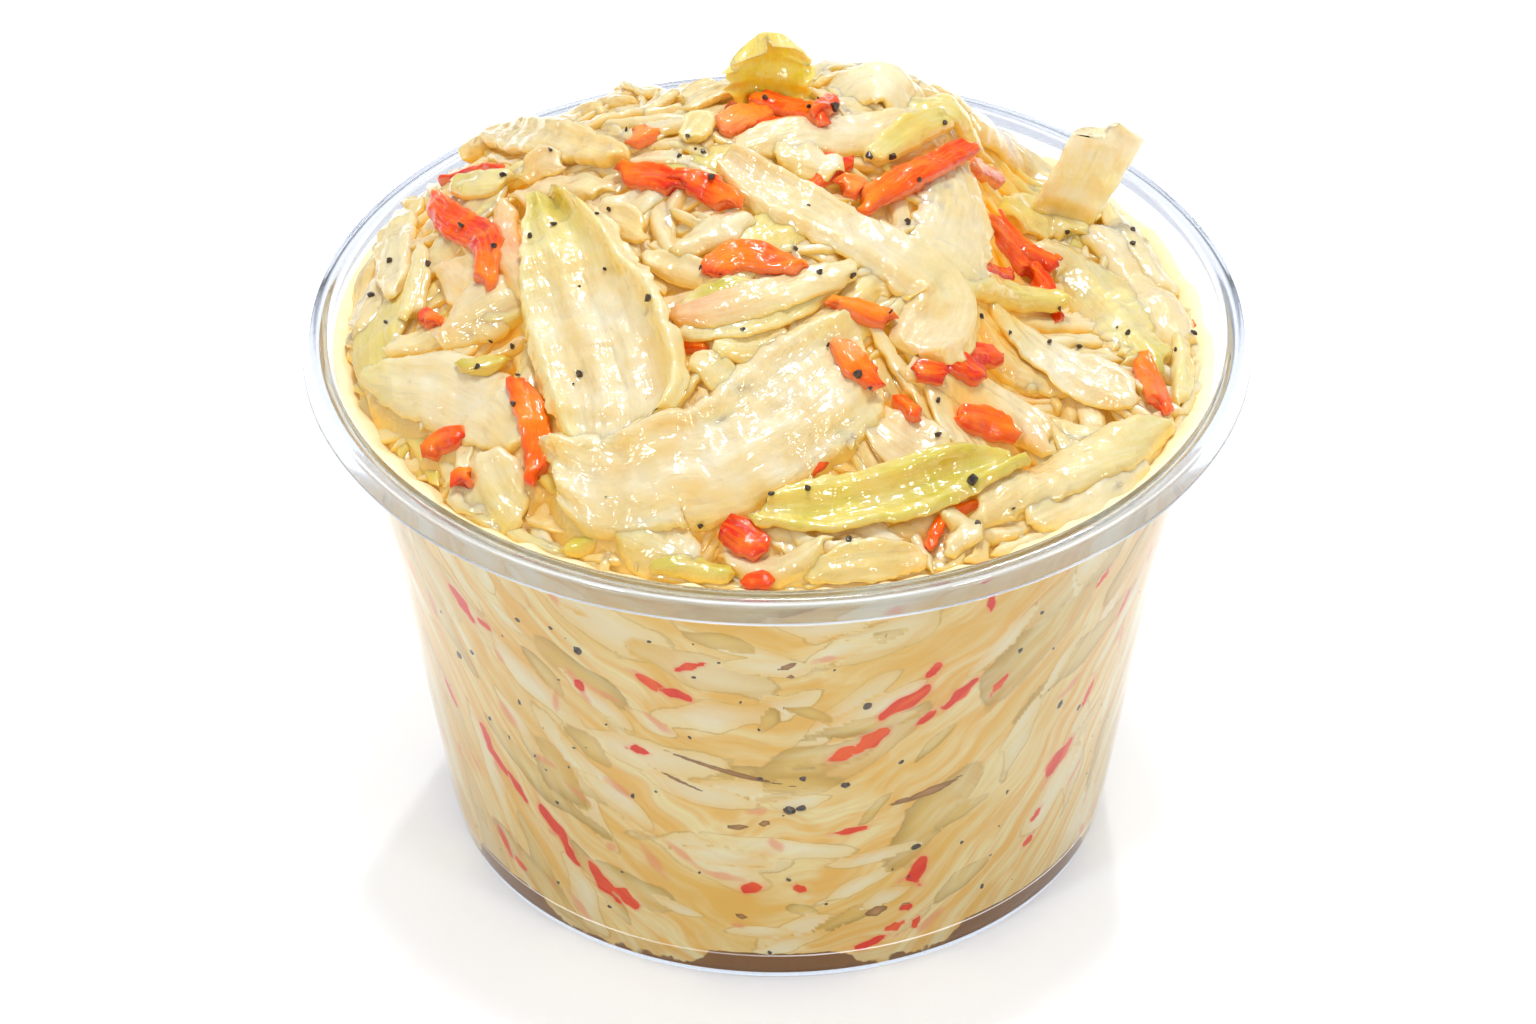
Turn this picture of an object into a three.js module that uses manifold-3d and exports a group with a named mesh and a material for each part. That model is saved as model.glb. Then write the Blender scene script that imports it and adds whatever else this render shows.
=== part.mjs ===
// Coleslaw heaped in a clear round deli cup.
// Millimetres, +Z up, origin at the centre of the foot, -Y is the front.
import * as THREE from "three";
import { mergeVertices } from "three/addons/utils/BufferGeometryUtils.js";
import Module from "manifold-3d";

// Cup
const rimHeight = 58.8;
const lipRadius = 49;
const lipDrop = 2.5;
const flangeInner = 46.03;
const flangeOuter = 48;
const sheet = 0.6;
const footRadius = 34.5;
const footInner = 30.6;
const heelRadius = 35.3;
const heelHeight = 3.73;
const floorHeight = 3;
const wallTaper = 0.1613;
const flareStart = 34;
const flareWidth = 1.7;
const shoulderHeight = 54.5;
const cupSides = 44;

// Slaw
const wallGap = 0.35;
const wallSteps = [heelHeight, 14, 24, 34, 42, 49];
const fillHeight = 52.8;
const headroom = 30;
const peak = { x: -3, y: 9, rise: 22.5 };
const reach = { left: 44, right: 38, front: 49, back: 34 };
const frontLevel = -0.3;
const backLevel = -4.5;
const levelSpan = 44.16;
const cliff = { from: 18, to: 25, depth: 0.75, frontEnd: -34, backEnd: -14 };
const coreSink = 0.8;
const coreRings = [0.92, 0.82, 0.7, 0.58, 0.46, 0.34, 0.2];
const lump = { size: 0.5, alongX: 0.47, alongY: 0.21, acrossY: 0.38, acrossX: -0.16 };
const moatFull = 1.05;
const moatEmpty = 3.35;
const shred = {
  count: 72,
  seed: 41,
  reach: 41.5,
  endReach: 42.3,
  halfLength: [6.5, 11],
  bow: [-2.5, 2.5],
  lift: [-0.5, 0.6],
  width: [2.2, 3.8],
  thick: [1.3, 1.9],
  roll: [-0.35, 0.35],
  droop: 0.7,
};
const carrot = { width: 3, thick: 1.8, camber: 0.3, steps: 3 };
const goldenAngle = Math.PI * (3 - Math.sqrt(5));

const wasm = await Module();
wasm.setup();

// A repeatable source of numbers from 0 to 1.
function seededRandom(seed) {
  let state = seed;
  return () => {
    state = (state * 1664525 + 1013904223) % 4294967296;
    return state / 4294967296;
  };
}

function toSolid(geometry) {
  const bare = geometry.clone();
  bare.deleteAttribute("normal");
  bare.deleteAttribute("uv");
  const merged = mergeVertices(bare, 1e-4);
  return new wasm.Manifold(
    new wasm.Mesh({
      numProp: 3,
      vertProperties: merged.attributes.position.array,
      triVerts: new Uint32Array(merged.index.array),
    }),
  );
}

function toGeometry(solid) {
  const mesh = solid.getMesh();
  const geometry = new THREE.BufferGeometry();
  geometry.setAttribute("position", new THREE.BufferAttribute(mesh.vertProperties, 3));
  geometry.setIndex(new THREE.BufferAttribute(mesh.triVerts, 1));
  geometry.computeVertexNormals();
  return geometry;
}

// Outside radius of the cup's wall at height z.
function wallRadius(z) {
  const flare = Math.max(0, (z - flareStart) / (rimHeight - flareStart));
  return heelRadius + (z - heelHeight) * wallTaper + flareWidth * flare ** 1.3;
}

// Radius of the sloping step inside the cup, between the raised floor and the ring round it.
function stepRadius(z) {
  return THREE.MathUtils.mapLinear(z, sheet, floorHeight + sheet, footInner + 0.35, footInner - 1.25);
}

// The cup's section: up the outside, over the turned-down rim, down the inside.
function cupSection() {
  const heights = [...wallSteps.slice(1), shoulderHeight];
  const outside = heights.map((z) => [wallRadius(z), z]);
  const inside = heights.map((z) => [wallRadius(z) - sheet, z]).reverse();
  const lipHeight = rimHeight - lipDrop;
  return [
    [0, floorHeight],
    [footInner - 1.6, floorHeight],
    [footInner, 0],
    [footRadius - 0.4, 0],
    [footRadius, 0.4],
    [heelRadius, heelHeight],
    ...outside,
    [flangeInner + 0.45, rimHeight - 1.4],
    [flangeOuter - 0.7, rimHeight - sheet],
    [flangeOuter - 0.1, rimHeight - sheet - 0.4],
    [lipRadius - sheet, lipHeight],
    [lipRadius, lipHeight],
    [flangeOuter + 0.35, rimHeight - 0.45],
    [flangeOuter - 0.2, rimHeight],
    [flangeInner + 0.35, rimHeight],
    [flangeInner, rimHeight - 0.4],
    [flangeInner - 0.22, rimHeight - 1.6],
    ...inside,
    [heelRadius - sheet, heelHeight],
    [footRadius - sheet - 0.2, sheet],
    [stepRadius(sheet), sheet],
    [stepRadius(floorHeight + sheet), floorHeight + sheet],
    [0, floorHeight + sheet],
  ].map(([r, z]) => new THREE.Vector2(r, z));
}

function lathe(points) {
  const turned = new THREE.LatheGeometry(points, cupSides);
  turned.rotateX(Math.PI / 2);
  return turned;
}

// Height of the heap's surface at x, y.
function heapTop(x, y) {
  const dx = x - peak.x;
  const dy = y - peak.y;
  const across = dx / (dx < 0 ? reach.left : reach.right);
  const along = dy / (dy < 0 ? reach.front : reach.back);
  const away = Math.min(1, Math.hypot(across, along));
  const roundness = 1.5 + 0.9 * THREE.MathUtils.smoothstep(dy, -12, 12);
  const drop = THREE.MathUtils.smoothstep(x, cliff.from, cliff.to);
  const open = THREE.MathUtils.smoothstep(y, cliff.frontEnd, cliff.backEnd);
  const mound = peak.rise * (1 - away ** roundness) * (1 - cliff.depth * drop * open);
  const ring = THREE.MathUtils.mapLinear(y, -levelSpan, levelSpan, frontLevel, backLevel);
  return rimHeight + ring + mound;
}

// A closed body between an upper and a lower grid of points, rows by columns.
function slabBetween(upper, lower) {
  const rows = upper.length;
  const columns = upper[0].length;
  const positions = [];
  const faces = [];
  for (const grid of [upper, lower])
    for (const row of grid) for (const point of row) positions.push(point.x, point.y, point.z);
  const top = (i, j) => i * columns + j;
  const under = (i, j) => rows * columns + i * columns + j;
  const quad = (a, b, c, d) => faces.push(a, b, c, a, c, d);
  for (let i = 0; i < rows - 1; i++)
    for (let j = 0; j < columns - 1; j++) {
      quad(top(i, j), top(i, j + 1), top(i + 1, j + 1), top(i + 1, j));
      faces.push(under(i, j), under(i + 1, j + 1), under(i, j + 1));
      faces.push(under(i, j), under(i + 1, j), under(i + 1, j + 1));
    }
  for (let i = 0; i < rows - 1; i++) {
    quad(top(i, 0), top(i + 1, 0), under(i + 1, 0), under(i, 0));
    const j = columns - 1;
    quad(top(i + 1, j), top(i, j), under(i, j), under(i + 1, j));
  }
  for (let j = 0; j < columns - 1; j++) {
    quad(top(0, j + 1), top(0, j), under(0, j), under(0, j + 1));
    const i = rows - 1;
    quad(top(i, j), top(i, j + 1), under(i, j + 1), under(i, j));
  }
  const geometry = new THREE.BufferGeometry();
  geometry.setAttribute("position", new THREE.Float32BufferAttribute(positions, 3));
  geometry.setIndex(faces);
  return geometry;
}

// A leaf or a shred: a thin wavy slab that follows a route over the heap.
// Route points are x, y and the height above the heap's surface.
function cutPiece(piece) {
  const { route, width, thick = 1.4, camber = 0.5, wave = 0, steps = 5, columns = 2, roll = 0 } = piece;
  const spine = new THREE.CatmullRomCurve3(
    route.map(([x, y, lift]) => new THREE.Vector3(x, y, heapTop(x, y) + lift)),
  );
  const upper = [];
  const lower = [];
  for (let i = 0; i < steps; i++) {
    const t = i / (steps - 1);
    const centre = spine.getPoint(t);
    const forward = spine.getTangent(t);
    const side = piece.side ? new THREE.Vector3(...piece.side) : new THREE.Vector3(forward.y, -forward.x, 0);
    side.addScaledVector(forward, -side.dot(forward)).normalize().applyAxisAngle(forward, roll);
    const up = new THREE.Vector3().crossVectors(side, forward).normalize();
    const halfWidth = (width / 2) * (piece.shape ? piece.shape(t) : 1);
    const rows = [[], []];
    for (let j = 0; j < columns; j++) {
      const across = (2 * j) / (columns - 1) - 1;
      const bend = camber * (1 - across * across) + wave * across * Math.sin(9 * t + 2 * across);
      const middle = centre.clone().addScaledVector(side, across * halfWidth);
      rows[0].push(middle.clone().addScaledVector(up, bend + thick / 2));
      rows[1].push(middle.clone().addScaledVector(up, bend - thick / 2));
    }
    upper.push(rows[0]);
    lower.push(rows[1]);
  }
  return toSolid(slabBetween(upper, lower));
}

const roundEnds = (t) => 0.45 + 0.55 * Math.sin(Math.PI * t);
const pointedStart = (t) => 0.2 + 0.8 * Math.sin(Math.PI * Math.min(0.62, 0.75 * t + 0.02));
const fanOut = (t) => 0.4 + 0.6 * t;

// The large cabbage leaves and cuts that give the heap its outline.
const leafBand = { thick: 1.8, steps: 6, columns: 3, wave: 0.5 };
const broad = { thick: 1.6, steps: 6, columns: 3, wave: 0.4 };
const narrow = { thick: 1.7, steps: 5 };
const cabbageCuts = [
  { ...leafBand, route: [[-23.7, 5, 0], [-19, -12, 0.9], [-15, -29, 0]], width: 14, shape: pointedStart },
  {
    ...leafBand,
    route: [[-23, -29, 0.2], [-12, -32, 0.8], [1, -26.5, 1.2], [11.5, -13, 0.4]],
    width: 11,
    shape: roundEnds,
  },
  { ...leafBand, route: [[-6, 4, 0], [6, -4, 0.9], [16, -10, 0]], width: 8, shape: roundEnds },
  { ...broad, route: [[17, 11, -0.3], [19.5, 1, 0.3], [12.5, -15, -0.3]], width: 8 },
  { ...broad, route: [[-3, -37, 0], [10, -33, 0.5], [24.5, -22.5, 0]], width: 5.5, shape: roundEnds },
  { ...narrow, route: [[-13.6, -41, -0.2], [-7.7, -41.8, 0.2], [-1.8, -42, -0.2]], width: 2.6 },
  { ...narrow, route: [[17, -6, -0.3], [24, 2, 0.8], [30.5, 6, 0]], width: 3.2, shape: roundEnds },
  { ...narrow, route: [[8.6, 4.8, -0.2], [13, 9, 1], [18, 12, 1.8]], width: 3.6 },
  { ...broad, route: [[31, 19, -0.2], [35, 9, 0.4], [39, -2, -0.2]], width: 7, shape: roundEnds },
  { ...broad, route: [[-41, -6, 0], [-35, -13, 0.6], [-26, -25, 0]], width: 8.5, shape: roundEnds },
  { ...narrow, route: [[-38, 15, -0.3], [-38, 7, 0.9], [-37, -1, -0.2]], width: 4.5 },
  {
    ...broad,
    route: [[-1.3, 13, -2], [-1.3, 14.5, 2.5], [-1, 14.5, 5.8]],
    width: 7,
    side: [1, 0.2, 0],
    shape: fanOut,
  },
  { ...broad, route: [[5.5, 14, -0.5], [10.5, 15, 2], [15.5, 14, -0.5]], width: 6.5, thick: 2.2 },
  { ...narrow, route: [[9, 13, 0], [15.5, 14, 2], [21, 14, 5.6]], width: 3.4, shape: roundEnds },
  {
    ...narrow,
    route: [[26.5, 16, -1], [30.5, 17.5, 6], [33.5, 19, 13]],
    width: 5.8,
    thick: 1.3,
    side: [0.6, 0, -0.8],
  },
  { ...broad, route: [[-31, -25, 0], [-25, -32, 0.4]], width: 5.5, steps: 4 },
  { ...broad, route: [[-32, 12, 2.4], [-23, 12, 1], [-16, 5, -0.2]], width: 5 },
  { ...narrow, route: [[21, -31, -0.2], [30, -23, 0.4], [38, -15, -0.2]], width: 4 },
  { ...broad, route: [[14, -19, -0.2], [27.5, -17, 0.6]], width: 7, steps: 4 },
  { ...narrow, route: [[-11.3, -16, 0], [-2.7, -15, 0.6], [7.4, -10.6, 0]], width: 3.4, shape: roundEnds },
  { ...broad, route: [[-36, -5, -0.2], [-27, -7, 0.4]], width: 6.5, steps: 4, shape: fanOut },
];

// Carrot shreds, each from one end to the other.
const carrotCuts = [
  [[-2.2, 14, 0.1], [5.5, 9.5, 0.2]],
  [[-14.4, 3.7, 0], [-4.5, -4.7, 0.3]],
  [[-35, 14, 0.2], [-28.3, -2, 0]],
  [[-6.9, -13.3, 0], [2.9, -9, 0.1]],
  [[3.9, -0.5, 0.3], [9.6, 5.5, 0.2]],
  [[9, -1.5, 0.5], [19, 7, 0.7]],
  [[22, 12, 0.2], [29, 2.6, 0]],
  [[5.4, -14, 0.8], [12, -14.7, 0.6]],
  [[6.3, -19.3, 1.1], [10.3, -21.9, 0.9]],
  [[15, -15, 0], [23, -11.5, 0]],
  [[18, -20.2, 0.6], [25, -18.3, 0.8]],
  [[36.5, -2, 0], [38.6, -12.5, 0]],
  [[-26.8, -17, 0.2], [-23.6, -28.5, 0.3]],
  [[-36, -18, 0], [-31.4, -23.4, 0]],
  [[-5.7, -36, 0], [-1.5, -39.5, 0]],
];

// Height of the packed body under the shreds: sunk below the surface, and lumpy.
function coreTop(x, y) {
  const along = Math.sin(lump.alongX * x + lump.alongY * y + 1);
  const across = Math.cos(lump.acrossX * x + lump.acrossY * y);
  return heapTop(x, y) - coreSink + lump.size * along * across;
}

// The packed body of the slaw: up the cup's wall, then over the heap, a little below its surface.
function slawCore() {
  const edge = wallRadius(fillHeight) - sheet - wallGap;
  const rings = [];
  rings.push(() => [stepRadius(floorHeight + sheet) + wallGap, floorHeight + sheet + wallGap]);
  rings.push((turn) => [stepRadius(moatLevel(turn)) + wallGap + 0.1, moatLevel(turn)]);
  rings.push((turn) => [footRadius - sheet - 0.7, moatLevel(turn)]);
  for (const z of wallSteps) rings.push(() => [wallRadius(z) - sheet - wallGap, z]);
  for (const share of [1, ...coreRings])
    rings.push((turn) => {
      const r = share * edge;
      return [r, coreTop(r * Math.cos(turn), r * Math.sin(turn))];
    });
  const positions = [0, 0, floorHeight + sheet + wallGap];
  for (const ring of rings)
    for (let k = 0; k < cupSides; k++) {
      const turn = latheTurn(k);
      const [r, z] = ring(turn);
      positions.push(r * Math.cos(turn), r * Math.sin(turn), z);
    }
  positions.push(0, 0, coreTop(0, 0));
  const faces = [];
  const at = (ring, k) => 1 + ring * cupSides + (k % cupSides);
  const crown = 1 + rings.length * cupSides;
  for (let k = 0; k < cupSides; k++) {
    faces.push(0, at(0, k + 1), at(0, k));
    faces.push(crown, at(rings.length - 1, k), at(rings.length - 1, k + 1));
    for (let i = 0; i < rings.length - 1; i++) {
      faces.push(at(i, k), at(i, k + 1), at(i + 1, k + 1));
      faces.push(at(i, k), at(i + 1, k + 1), at(i + 1, k));
    }
  }
  const geometry = new THREE.BufferGeometry();
  geometry.setAttribute("position", new THREE.Float32BufferAttribute(positions, 3));
  geometry.setIndex(faces);
  return toSolid(geometry);
}

// Corner k of the cup's sides, so that the slaw's flats face the cup's flats.
function latheTurn(k) {
  return (k / cupSides) * 2 * Math.PI + Math.PI / 2;
}

// How far the slaw reaches down into the ring round the cup's floor: full in places, empty in others.
function moatLevel(turn) {
  const swing = 0.5 + 0.5 * Math.sin(3 * turn + 1.9) * Math.cos(2 * turn + 0.6);
  return THREE.MathUtils.lerp(moatFull, moatEmpty, THREE.MathUtils.smoothstep(swing, 0.4, 0.75));
}

// Whether a large leaf already covers the heap at x, y.
function underLeaf(x, y) {
  return cabbageCuts.some(({ route, width }) =>
    route.slice(1).some((end, k) => {
      const start = route[k];
      const line = new THREE.Line3(new THREE.Vector3(start[0], start[1]), new THREE.Vector3(end[0], end[1]));
      const near = line.closestPointToPoint(new THREE.Vector3(x, y), true, new THREE.Vector3());
      return Math.hypot(near.x - x, near.y - y) < 0.45 * width;
    }),
  );
}

// Shreds spread over the open parts of the heap by the golden angle, each turned and sized by the draw.
function scatteredShreds() {
  const random = seededRandom(shred.seed);
  const spread = ([low, high]) => low + (high - low) * random();
  const shreds = [];
  for (let n = 0; n < shred.count; n++) {
    const r = shred.reach * Math.sqrt((n + 0.6) / shred.count);
    const middle = [r * Math.cos(n * goldenAngle), r * Math.sin(n * goldenAngle)];
    const heading = spread([0, Math.PI]);
    const half = spread(shred.halfLength);
    const bow = spread(shred.bow);
    const lift = spread(shred.lift);
    const width = spread(shred.width);
    const thick = spread(shred.thick);
    const roll = spread(shred.roll);
    if (underLeaf(...middle)) continue;
    const along = [Math.cos(heading), Math.sin(heading)];
    const route = [-1, -0.5, 0, 0.5, 1].map((s) => {
      const x = middle[0] + s * half * along[0] - (1 - s * s) * bow * along[1];
      const y = middle[1] + s * half * along[1] + (1 - s * s) * bow * along[0];
      const keep = Math.min(1, shred.endReach / Math.hypot(x, y));
      return [x * keep, y * keep, lift - shred.droop * s * s];
    });
    shreds.push(cutPiece({ route, width, thick, roll, camber: 0.2, shape: roundEnds, steps: 4 }));
  }
  return shreds;
}

// Everything that a piece may fill: the inside of the cup, and the space over it.
function fillSpace() {
  const heights = [...wallSteps, shoulderHeight];
  const section = [
    [0, 0.2],
    [footRadius - 1, 0.2],
    ...heights.map((z) => [wallRadius(z) - sheet - wallGap, z]),
    [flangeInner - 0.22 - wallGap, rimHeight - 1.6],
    [flangeInner - wallGap, rimHeight + headroom],
    [0, rimHeight + headroom],
  ];
  return toSolid(lathe(section.map(([r, z]) => new THREE.Vector2(r, z))));
}

// Core and pieces as one body, trimmed to the space inside the cup's wall.
function slawBody() {
  const cabbagePieces = cabbageCuts.map(cutPiece);
  const carrotPieces = carrotCuts.map((route) => cutPiece({ ...carrot, route, shape: roundEnds }));
  let body = slawCore();
  for (const piece of [...scatteredShreds(), ...carrotPieces, ...cabbagePieces]) body = body.add(piece);
  body = body.intersect(fillSpace());
  const bodies = body.decompose().sort((a, b) => b.volume() - a.volume());
  return bodies[0];
}

const clearPlastic = new THREE.MeshStandardMaterial({
  name: "clear_plastic",
  color: 0xe9edf2,
  roughness: 0.04,
  metalness: 0,
  transparent: true,
  opacity: 0.3,
});
const dressedCabbage = new THREE.MeshStandardMaterial({
  name: "dressed_cabbage",
  color: 0xf2e3b4,
  roughness: 0.35,
  metalness: 0,
});

const cup = new THREE.Mesh(lathe(cupSection()), clearPlastic);
cup.name = "cup";

const slaw = new THREE.Mesh(toGeometry(slawBody()), dressedCabbage);
slaw.name = "slaw";

const coleslaw = new THREE.Group();
coleslaw.name = "coleslaw";
coleslaw.add(cup, slaw);

export default coleslaw;
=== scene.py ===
import math

import bmesh
import bpy
import numpy as np
from mathutils import Matrix, Vector, kdtree


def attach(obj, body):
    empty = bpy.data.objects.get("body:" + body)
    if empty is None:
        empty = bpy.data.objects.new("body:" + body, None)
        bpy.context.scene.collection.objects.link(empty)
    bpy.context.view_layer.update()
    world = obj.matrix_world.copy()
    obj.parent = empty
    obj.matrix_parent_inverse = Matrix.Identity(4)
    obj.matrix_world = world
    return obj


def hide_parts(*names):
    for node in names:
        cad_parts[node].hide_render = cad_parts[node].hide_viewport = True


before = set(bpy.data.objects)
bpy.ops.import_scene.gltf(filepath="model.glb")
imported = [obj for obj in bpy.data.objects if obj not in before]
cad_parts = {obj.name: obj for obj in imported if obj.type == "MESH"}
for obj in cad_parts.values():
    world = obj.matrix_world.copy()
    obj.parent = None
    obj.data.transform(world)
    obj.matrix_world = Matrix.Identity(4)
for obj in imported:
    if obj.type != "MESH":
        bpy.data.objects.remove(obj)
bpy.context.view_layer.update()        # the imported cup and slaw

mm = 0.001  # everything below is worked out in millimetres and turned into metres when a mesh is made

camera = {
    "place": (0.0, -680.75, 524.13),
    "pitch": 35.70,  # degrees below the horizon
    "yaw": -0.086,
    "roll": -0.286,
    "lens": 187.5,
    "sensor": 36.0,
    "frameWidth": 1536,
    "frameHeight": 1024,
}


def cameraAxes():
    pitch, yaw, roll = (math.radians(camera[k]) for k in ("pitch", "yaw", "roll"))
    forward = np.array([math.sin(yaw) * math.cos(pitch), math.cos(yaw) * math.cos(pitch), -math.sin(pitch)])
    right = np.array([math.cos(yaw), -math.sin(yaw), 0.0])
    up = np.cross(right, forward)
    return (math.cos(roll) * right + math.sin(roll) * up, math.cos(roll) * up - math.sin(roll) * right, forward)


rightWay, upWay, forwardWay = cameraAxes()
eye = np.array(camera["place"])
focal = camera["lens"] / camera["sensor"] * camera["frameWidth"]  # in pixels


def pixelRay(px, py):
    return forwardWay + (px - camera["frameWidth"] / 2) / focal * rightWay \
        - (py - camera["frameHeight"] / 2) / focal * upWay


# Where the line through a pixel is at a height, or at each of several.
def pixelAtHeight(px, py, z):
    ray = pixelRay(px, py)
    return [eye[k] + ray[k] * (z - eye[2]) / ray[2] for k in (0, 1)]


def addCamera():
    data = bpy.data.cameras.new("camera")
    data.lens = camera["lens"]
    data.sensor_width = camera["sensor"]
    data.sensor_fit = "HORIZONTAL"
    data.clip_start = 0.01
    thing = bpy.data.objects.new("camera", data)
    bpy.context.scene.collection.objects.link(thing)
    turn = Matrix([list(rightWay), list(upWay), list(-forwardWay)]).transposed().to_4x4()
    thing.matrix_world = Matrix.Translation(Vector(eye * mm)) @ turn
    bpy.context.scene.camera = thing


# The cup and the heap, as in the part's source, in millimetres.
cup = {
    "rimHeight": 58.8,
    "lipRadius": 49.0,
    "lipDrop": 2.5,
    "flangeInner": 46.03,
    "flangeOuter": 48.0,
    "sheet": 0.6,
    "footRadius": 34.5,
    "footInner": 30.6,
    "heelRadius": 35.3,
    "heelHeight": 3.73,
    "floorHeight": 3.0,
    "wallTaper": 0.1613,
    "flareStart": 34.0,
    "flareWidth": 1.7,
    "sides": 224,
}
heap = {
    "peakX": -3.0,
    "peakY": 9.0,
    "rise": 22.5,
    "left": 44.0,
    "right": 38.0,
    "front": 49.0,
    "back": 34.0,
    "frontLevel": -0.3,
    "backLevel": -4.5,
    "levelSpan": 44.16,
    "cliffFrom": 18.0,
    "cliffTo": 25.0,
    "cliffDepth": 0.75,
    "cliffFrontEnd": -34.0,
    "cliffBackEnd": -14.0,
}


def ease(low, high, value):
    t = np.clip((value - low) / (high - low), 0, 1)
    return t * t * (3 - 2 * t)


def wallRadius(z):
    flare = np.maximum(0, (z - cup["flareStart"]) / (cup["rimHeight"] - cup["flareStart"]))
    return cup["heelRadius"] + (z - cup["heelHeight"]) * cup["wallTaper"] + cup["flareWidth"] * flare ** 1.3


def innerRadius(z):
    plain = wallRadius(np.minimum(z, 54.5)) - cup["sheet"]
    steps = [54.5, cup["rimHeight"] - 1.6, cup["rimHeight"] - 0.4]
    radii = [float(wallRadius(54.5)) - cup["sheet"], cup["flangeInner"] - 0.22, cup["flangeInner"]]
    return np.where(np.asarray(z) > 54.5, np.interp(z, steps, radii), plain)


# The inside of the step between the foot ring and the raised floor.
def stepRadius(z):
    share = (z - cup["sheet"]) / cup["floorHeight"]
    return cup["footInner"] + 0.35 - 1.6 * share


def heapTop(x, y):
    dx, dy = x - heap["peakX"], y - heap["peakY"]
    across = dx / np.where(dx < 0, heap["left"], heap["right"])
    along = dy / np.where(dy < 0, heap["front"], heap["back"])
    away = np.minimum(1, np.hypot(across, along))
    roundness = 1.5 + 0.9 * ease(-12, 12, dy)
    cliff = ease(heap["cliffFrom"], heap["cliffTo"], x) * ease(heap["cliffFrontEnd"], heap["cliffBackEnd"], y)
    mound = heap["rise"] * (1 - away ** roundness) * (1 - heap["cliffDepth"] * cliff)
    slope = 0.5 + 0.5 * y / heap["levelSpan"]
    return cup["rimHeight"] + heap["frontLevel"] + (heap["backLevel"] - heap["frontLevel"]) * slope + mound


def srgb(red, green, blue):
    part = np.array([red, green, blue]) / 255
    return np.where(part <= 0.04045, part / 12.92, ((part + 0.055) / 1.055) ** 2.4)


tints = {
    "cream": srgb(253, 234, 180),
    "milk": srgb(254, 241, 206),
    "butter": srgb(251, 215, 132),
    "pale": srgb(249, 234, 156),
    "leaf": srgb(238, 220, 88),
    "green": srgb(218, 206, 46),
    "olive": srgb(210, 192, 20),
    "peach": srgb(254, 220, 172),
    "blush": srgb(253, 164, 98),
    "glaze": srgb(255, 150, 26),
    # amber is the colour of the painted glow in the dressing's gaps
    "amber": srgb(248, 190, 48),
    "sun": srgb(246, 232, 44),
    "carrot": srgb(250, 76, 0),
    "carrotDeep": srgb(226, 28, 0),
    "carrotPale": srgb(254, 136, 20),
}


# A wavy value between about -1 and 1 for each point, repeatable.
def ripples(points, size, seed, octaves=2):
    draw = np.random.default_rng(seed)
    total = np.zeros(len(points))
    for octave in range(octaves):
        for _ in range(5):
            way = draw.normal(size=points.shape[1])
            way *= 2 ** octave * 2 * math.pi / size / np.linalg.norm(way) * draw.uniform(0.6, 1.3)
            total += np.sin(points @ way + draw.uniform(0, 2 * math.pi)) / 2 ** octave
    return total / (5 * (2 - 0.5 ** (octaves - 1))) * 1.7


# Evenly spaced points on a smooth curve through the given ones.
def smoothRoute(points, spacing):
    points = np.asarray(points, float)
    padded = np.vstack([2 * points[0] - points[1], points, 2 * points[-1] - points[-2]])
    fine = []
    for k in range(len(points) - 1):
        a, b, c, d = padded[k:k + 4]
        t = np.linspace(0, 1, 24, endpoint=False)[:, None]
        fine.append(0.5 * (2 * b + (c - a) * t + (2 * a - 5 * b + 4 * c - d) * t ** 2
                           + (3 * b - a - 3 * c + d) * t ** 3))
    fine = np.vstack(fine + [points[-1:]])
    run = np.concatenate([[0], np.cumsum(np.linalg.norm(np.diff(fine, axis=0), axis=1))])
    stations = max(5, int(run[-1] / spacing) + 1)
    even = np.linspace(0, run[-1], stations)
    return np.stack([np.interp(even, run, fine[:, k]) for k in range(fine.shape[1])], 1)


# The height of what has been laid so far, on a square grid. New pieces rest on it.
field = {"step": 0.5, "reach": 50.0, "bed": 4.4, "lump": 1.0}
axisCells = int(2 * field["reach"] / field["step"]) + 1
fieldAxis = np.linspace(-field["reach"], field["reach"], axisCells)
fieldX, fieldY = np.meshgrid(fieldAxis, fieldAxis, indexing="ij")


# The dressed heap settles a little behind its left shoulder and stands fuller behind its right one.
settle = {"left": 3.4, "right": 3.4, "rightX": 27.0, "rightY": 29.0, "rightReach": 15.0}


def settled(x, y):
    left = ease(2, 20, y) * (1 - ease(-6, 8, x)) * (1 - ease(40, 46, np.hypot(x, y)))
    right = np.exp(-((x - settle["rightX"]) ** 2 + (y - settle["rightY"]) ** 2) / settle["rightReach"] ** 2)
    return settle["right"] * right - settle["left"] * left


def bedTop(x, y):
    spots = np.stack([np.ravel(x), np.ravel(y)], 1)
    lumps = ripples(spots, 11.0, 5).reshape(np.shape(x))
    return heapTop(x, y) - field["bed"] + field["lump"] * lumps + np.maximum(settled(x, y), -1)


heights = bedTop(fieldX, fieldY)
isLoose = np.zeros(heights.shape, bool)  # where a loose leaf or carrot lies on top


def sample(values, x, y):
    u = np.clip((x + field["reach"]) / field["step"], 0, axisCells - 1.001)
    v = np.clip((y + field["reach"]) / field["step"], 0, axisCells - 1.001)
    i, j = u.astype(int), v.astype(int)
    fu, fv = u - i, v - j
    return ((values[i, j] * (1 - fv) + values[i, j + 1] * fv) * (1 - fu)
            + (values[i + 1, j] * (1 - fv) + values[i + 1, j + 1] * fv) * fu)


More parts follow.
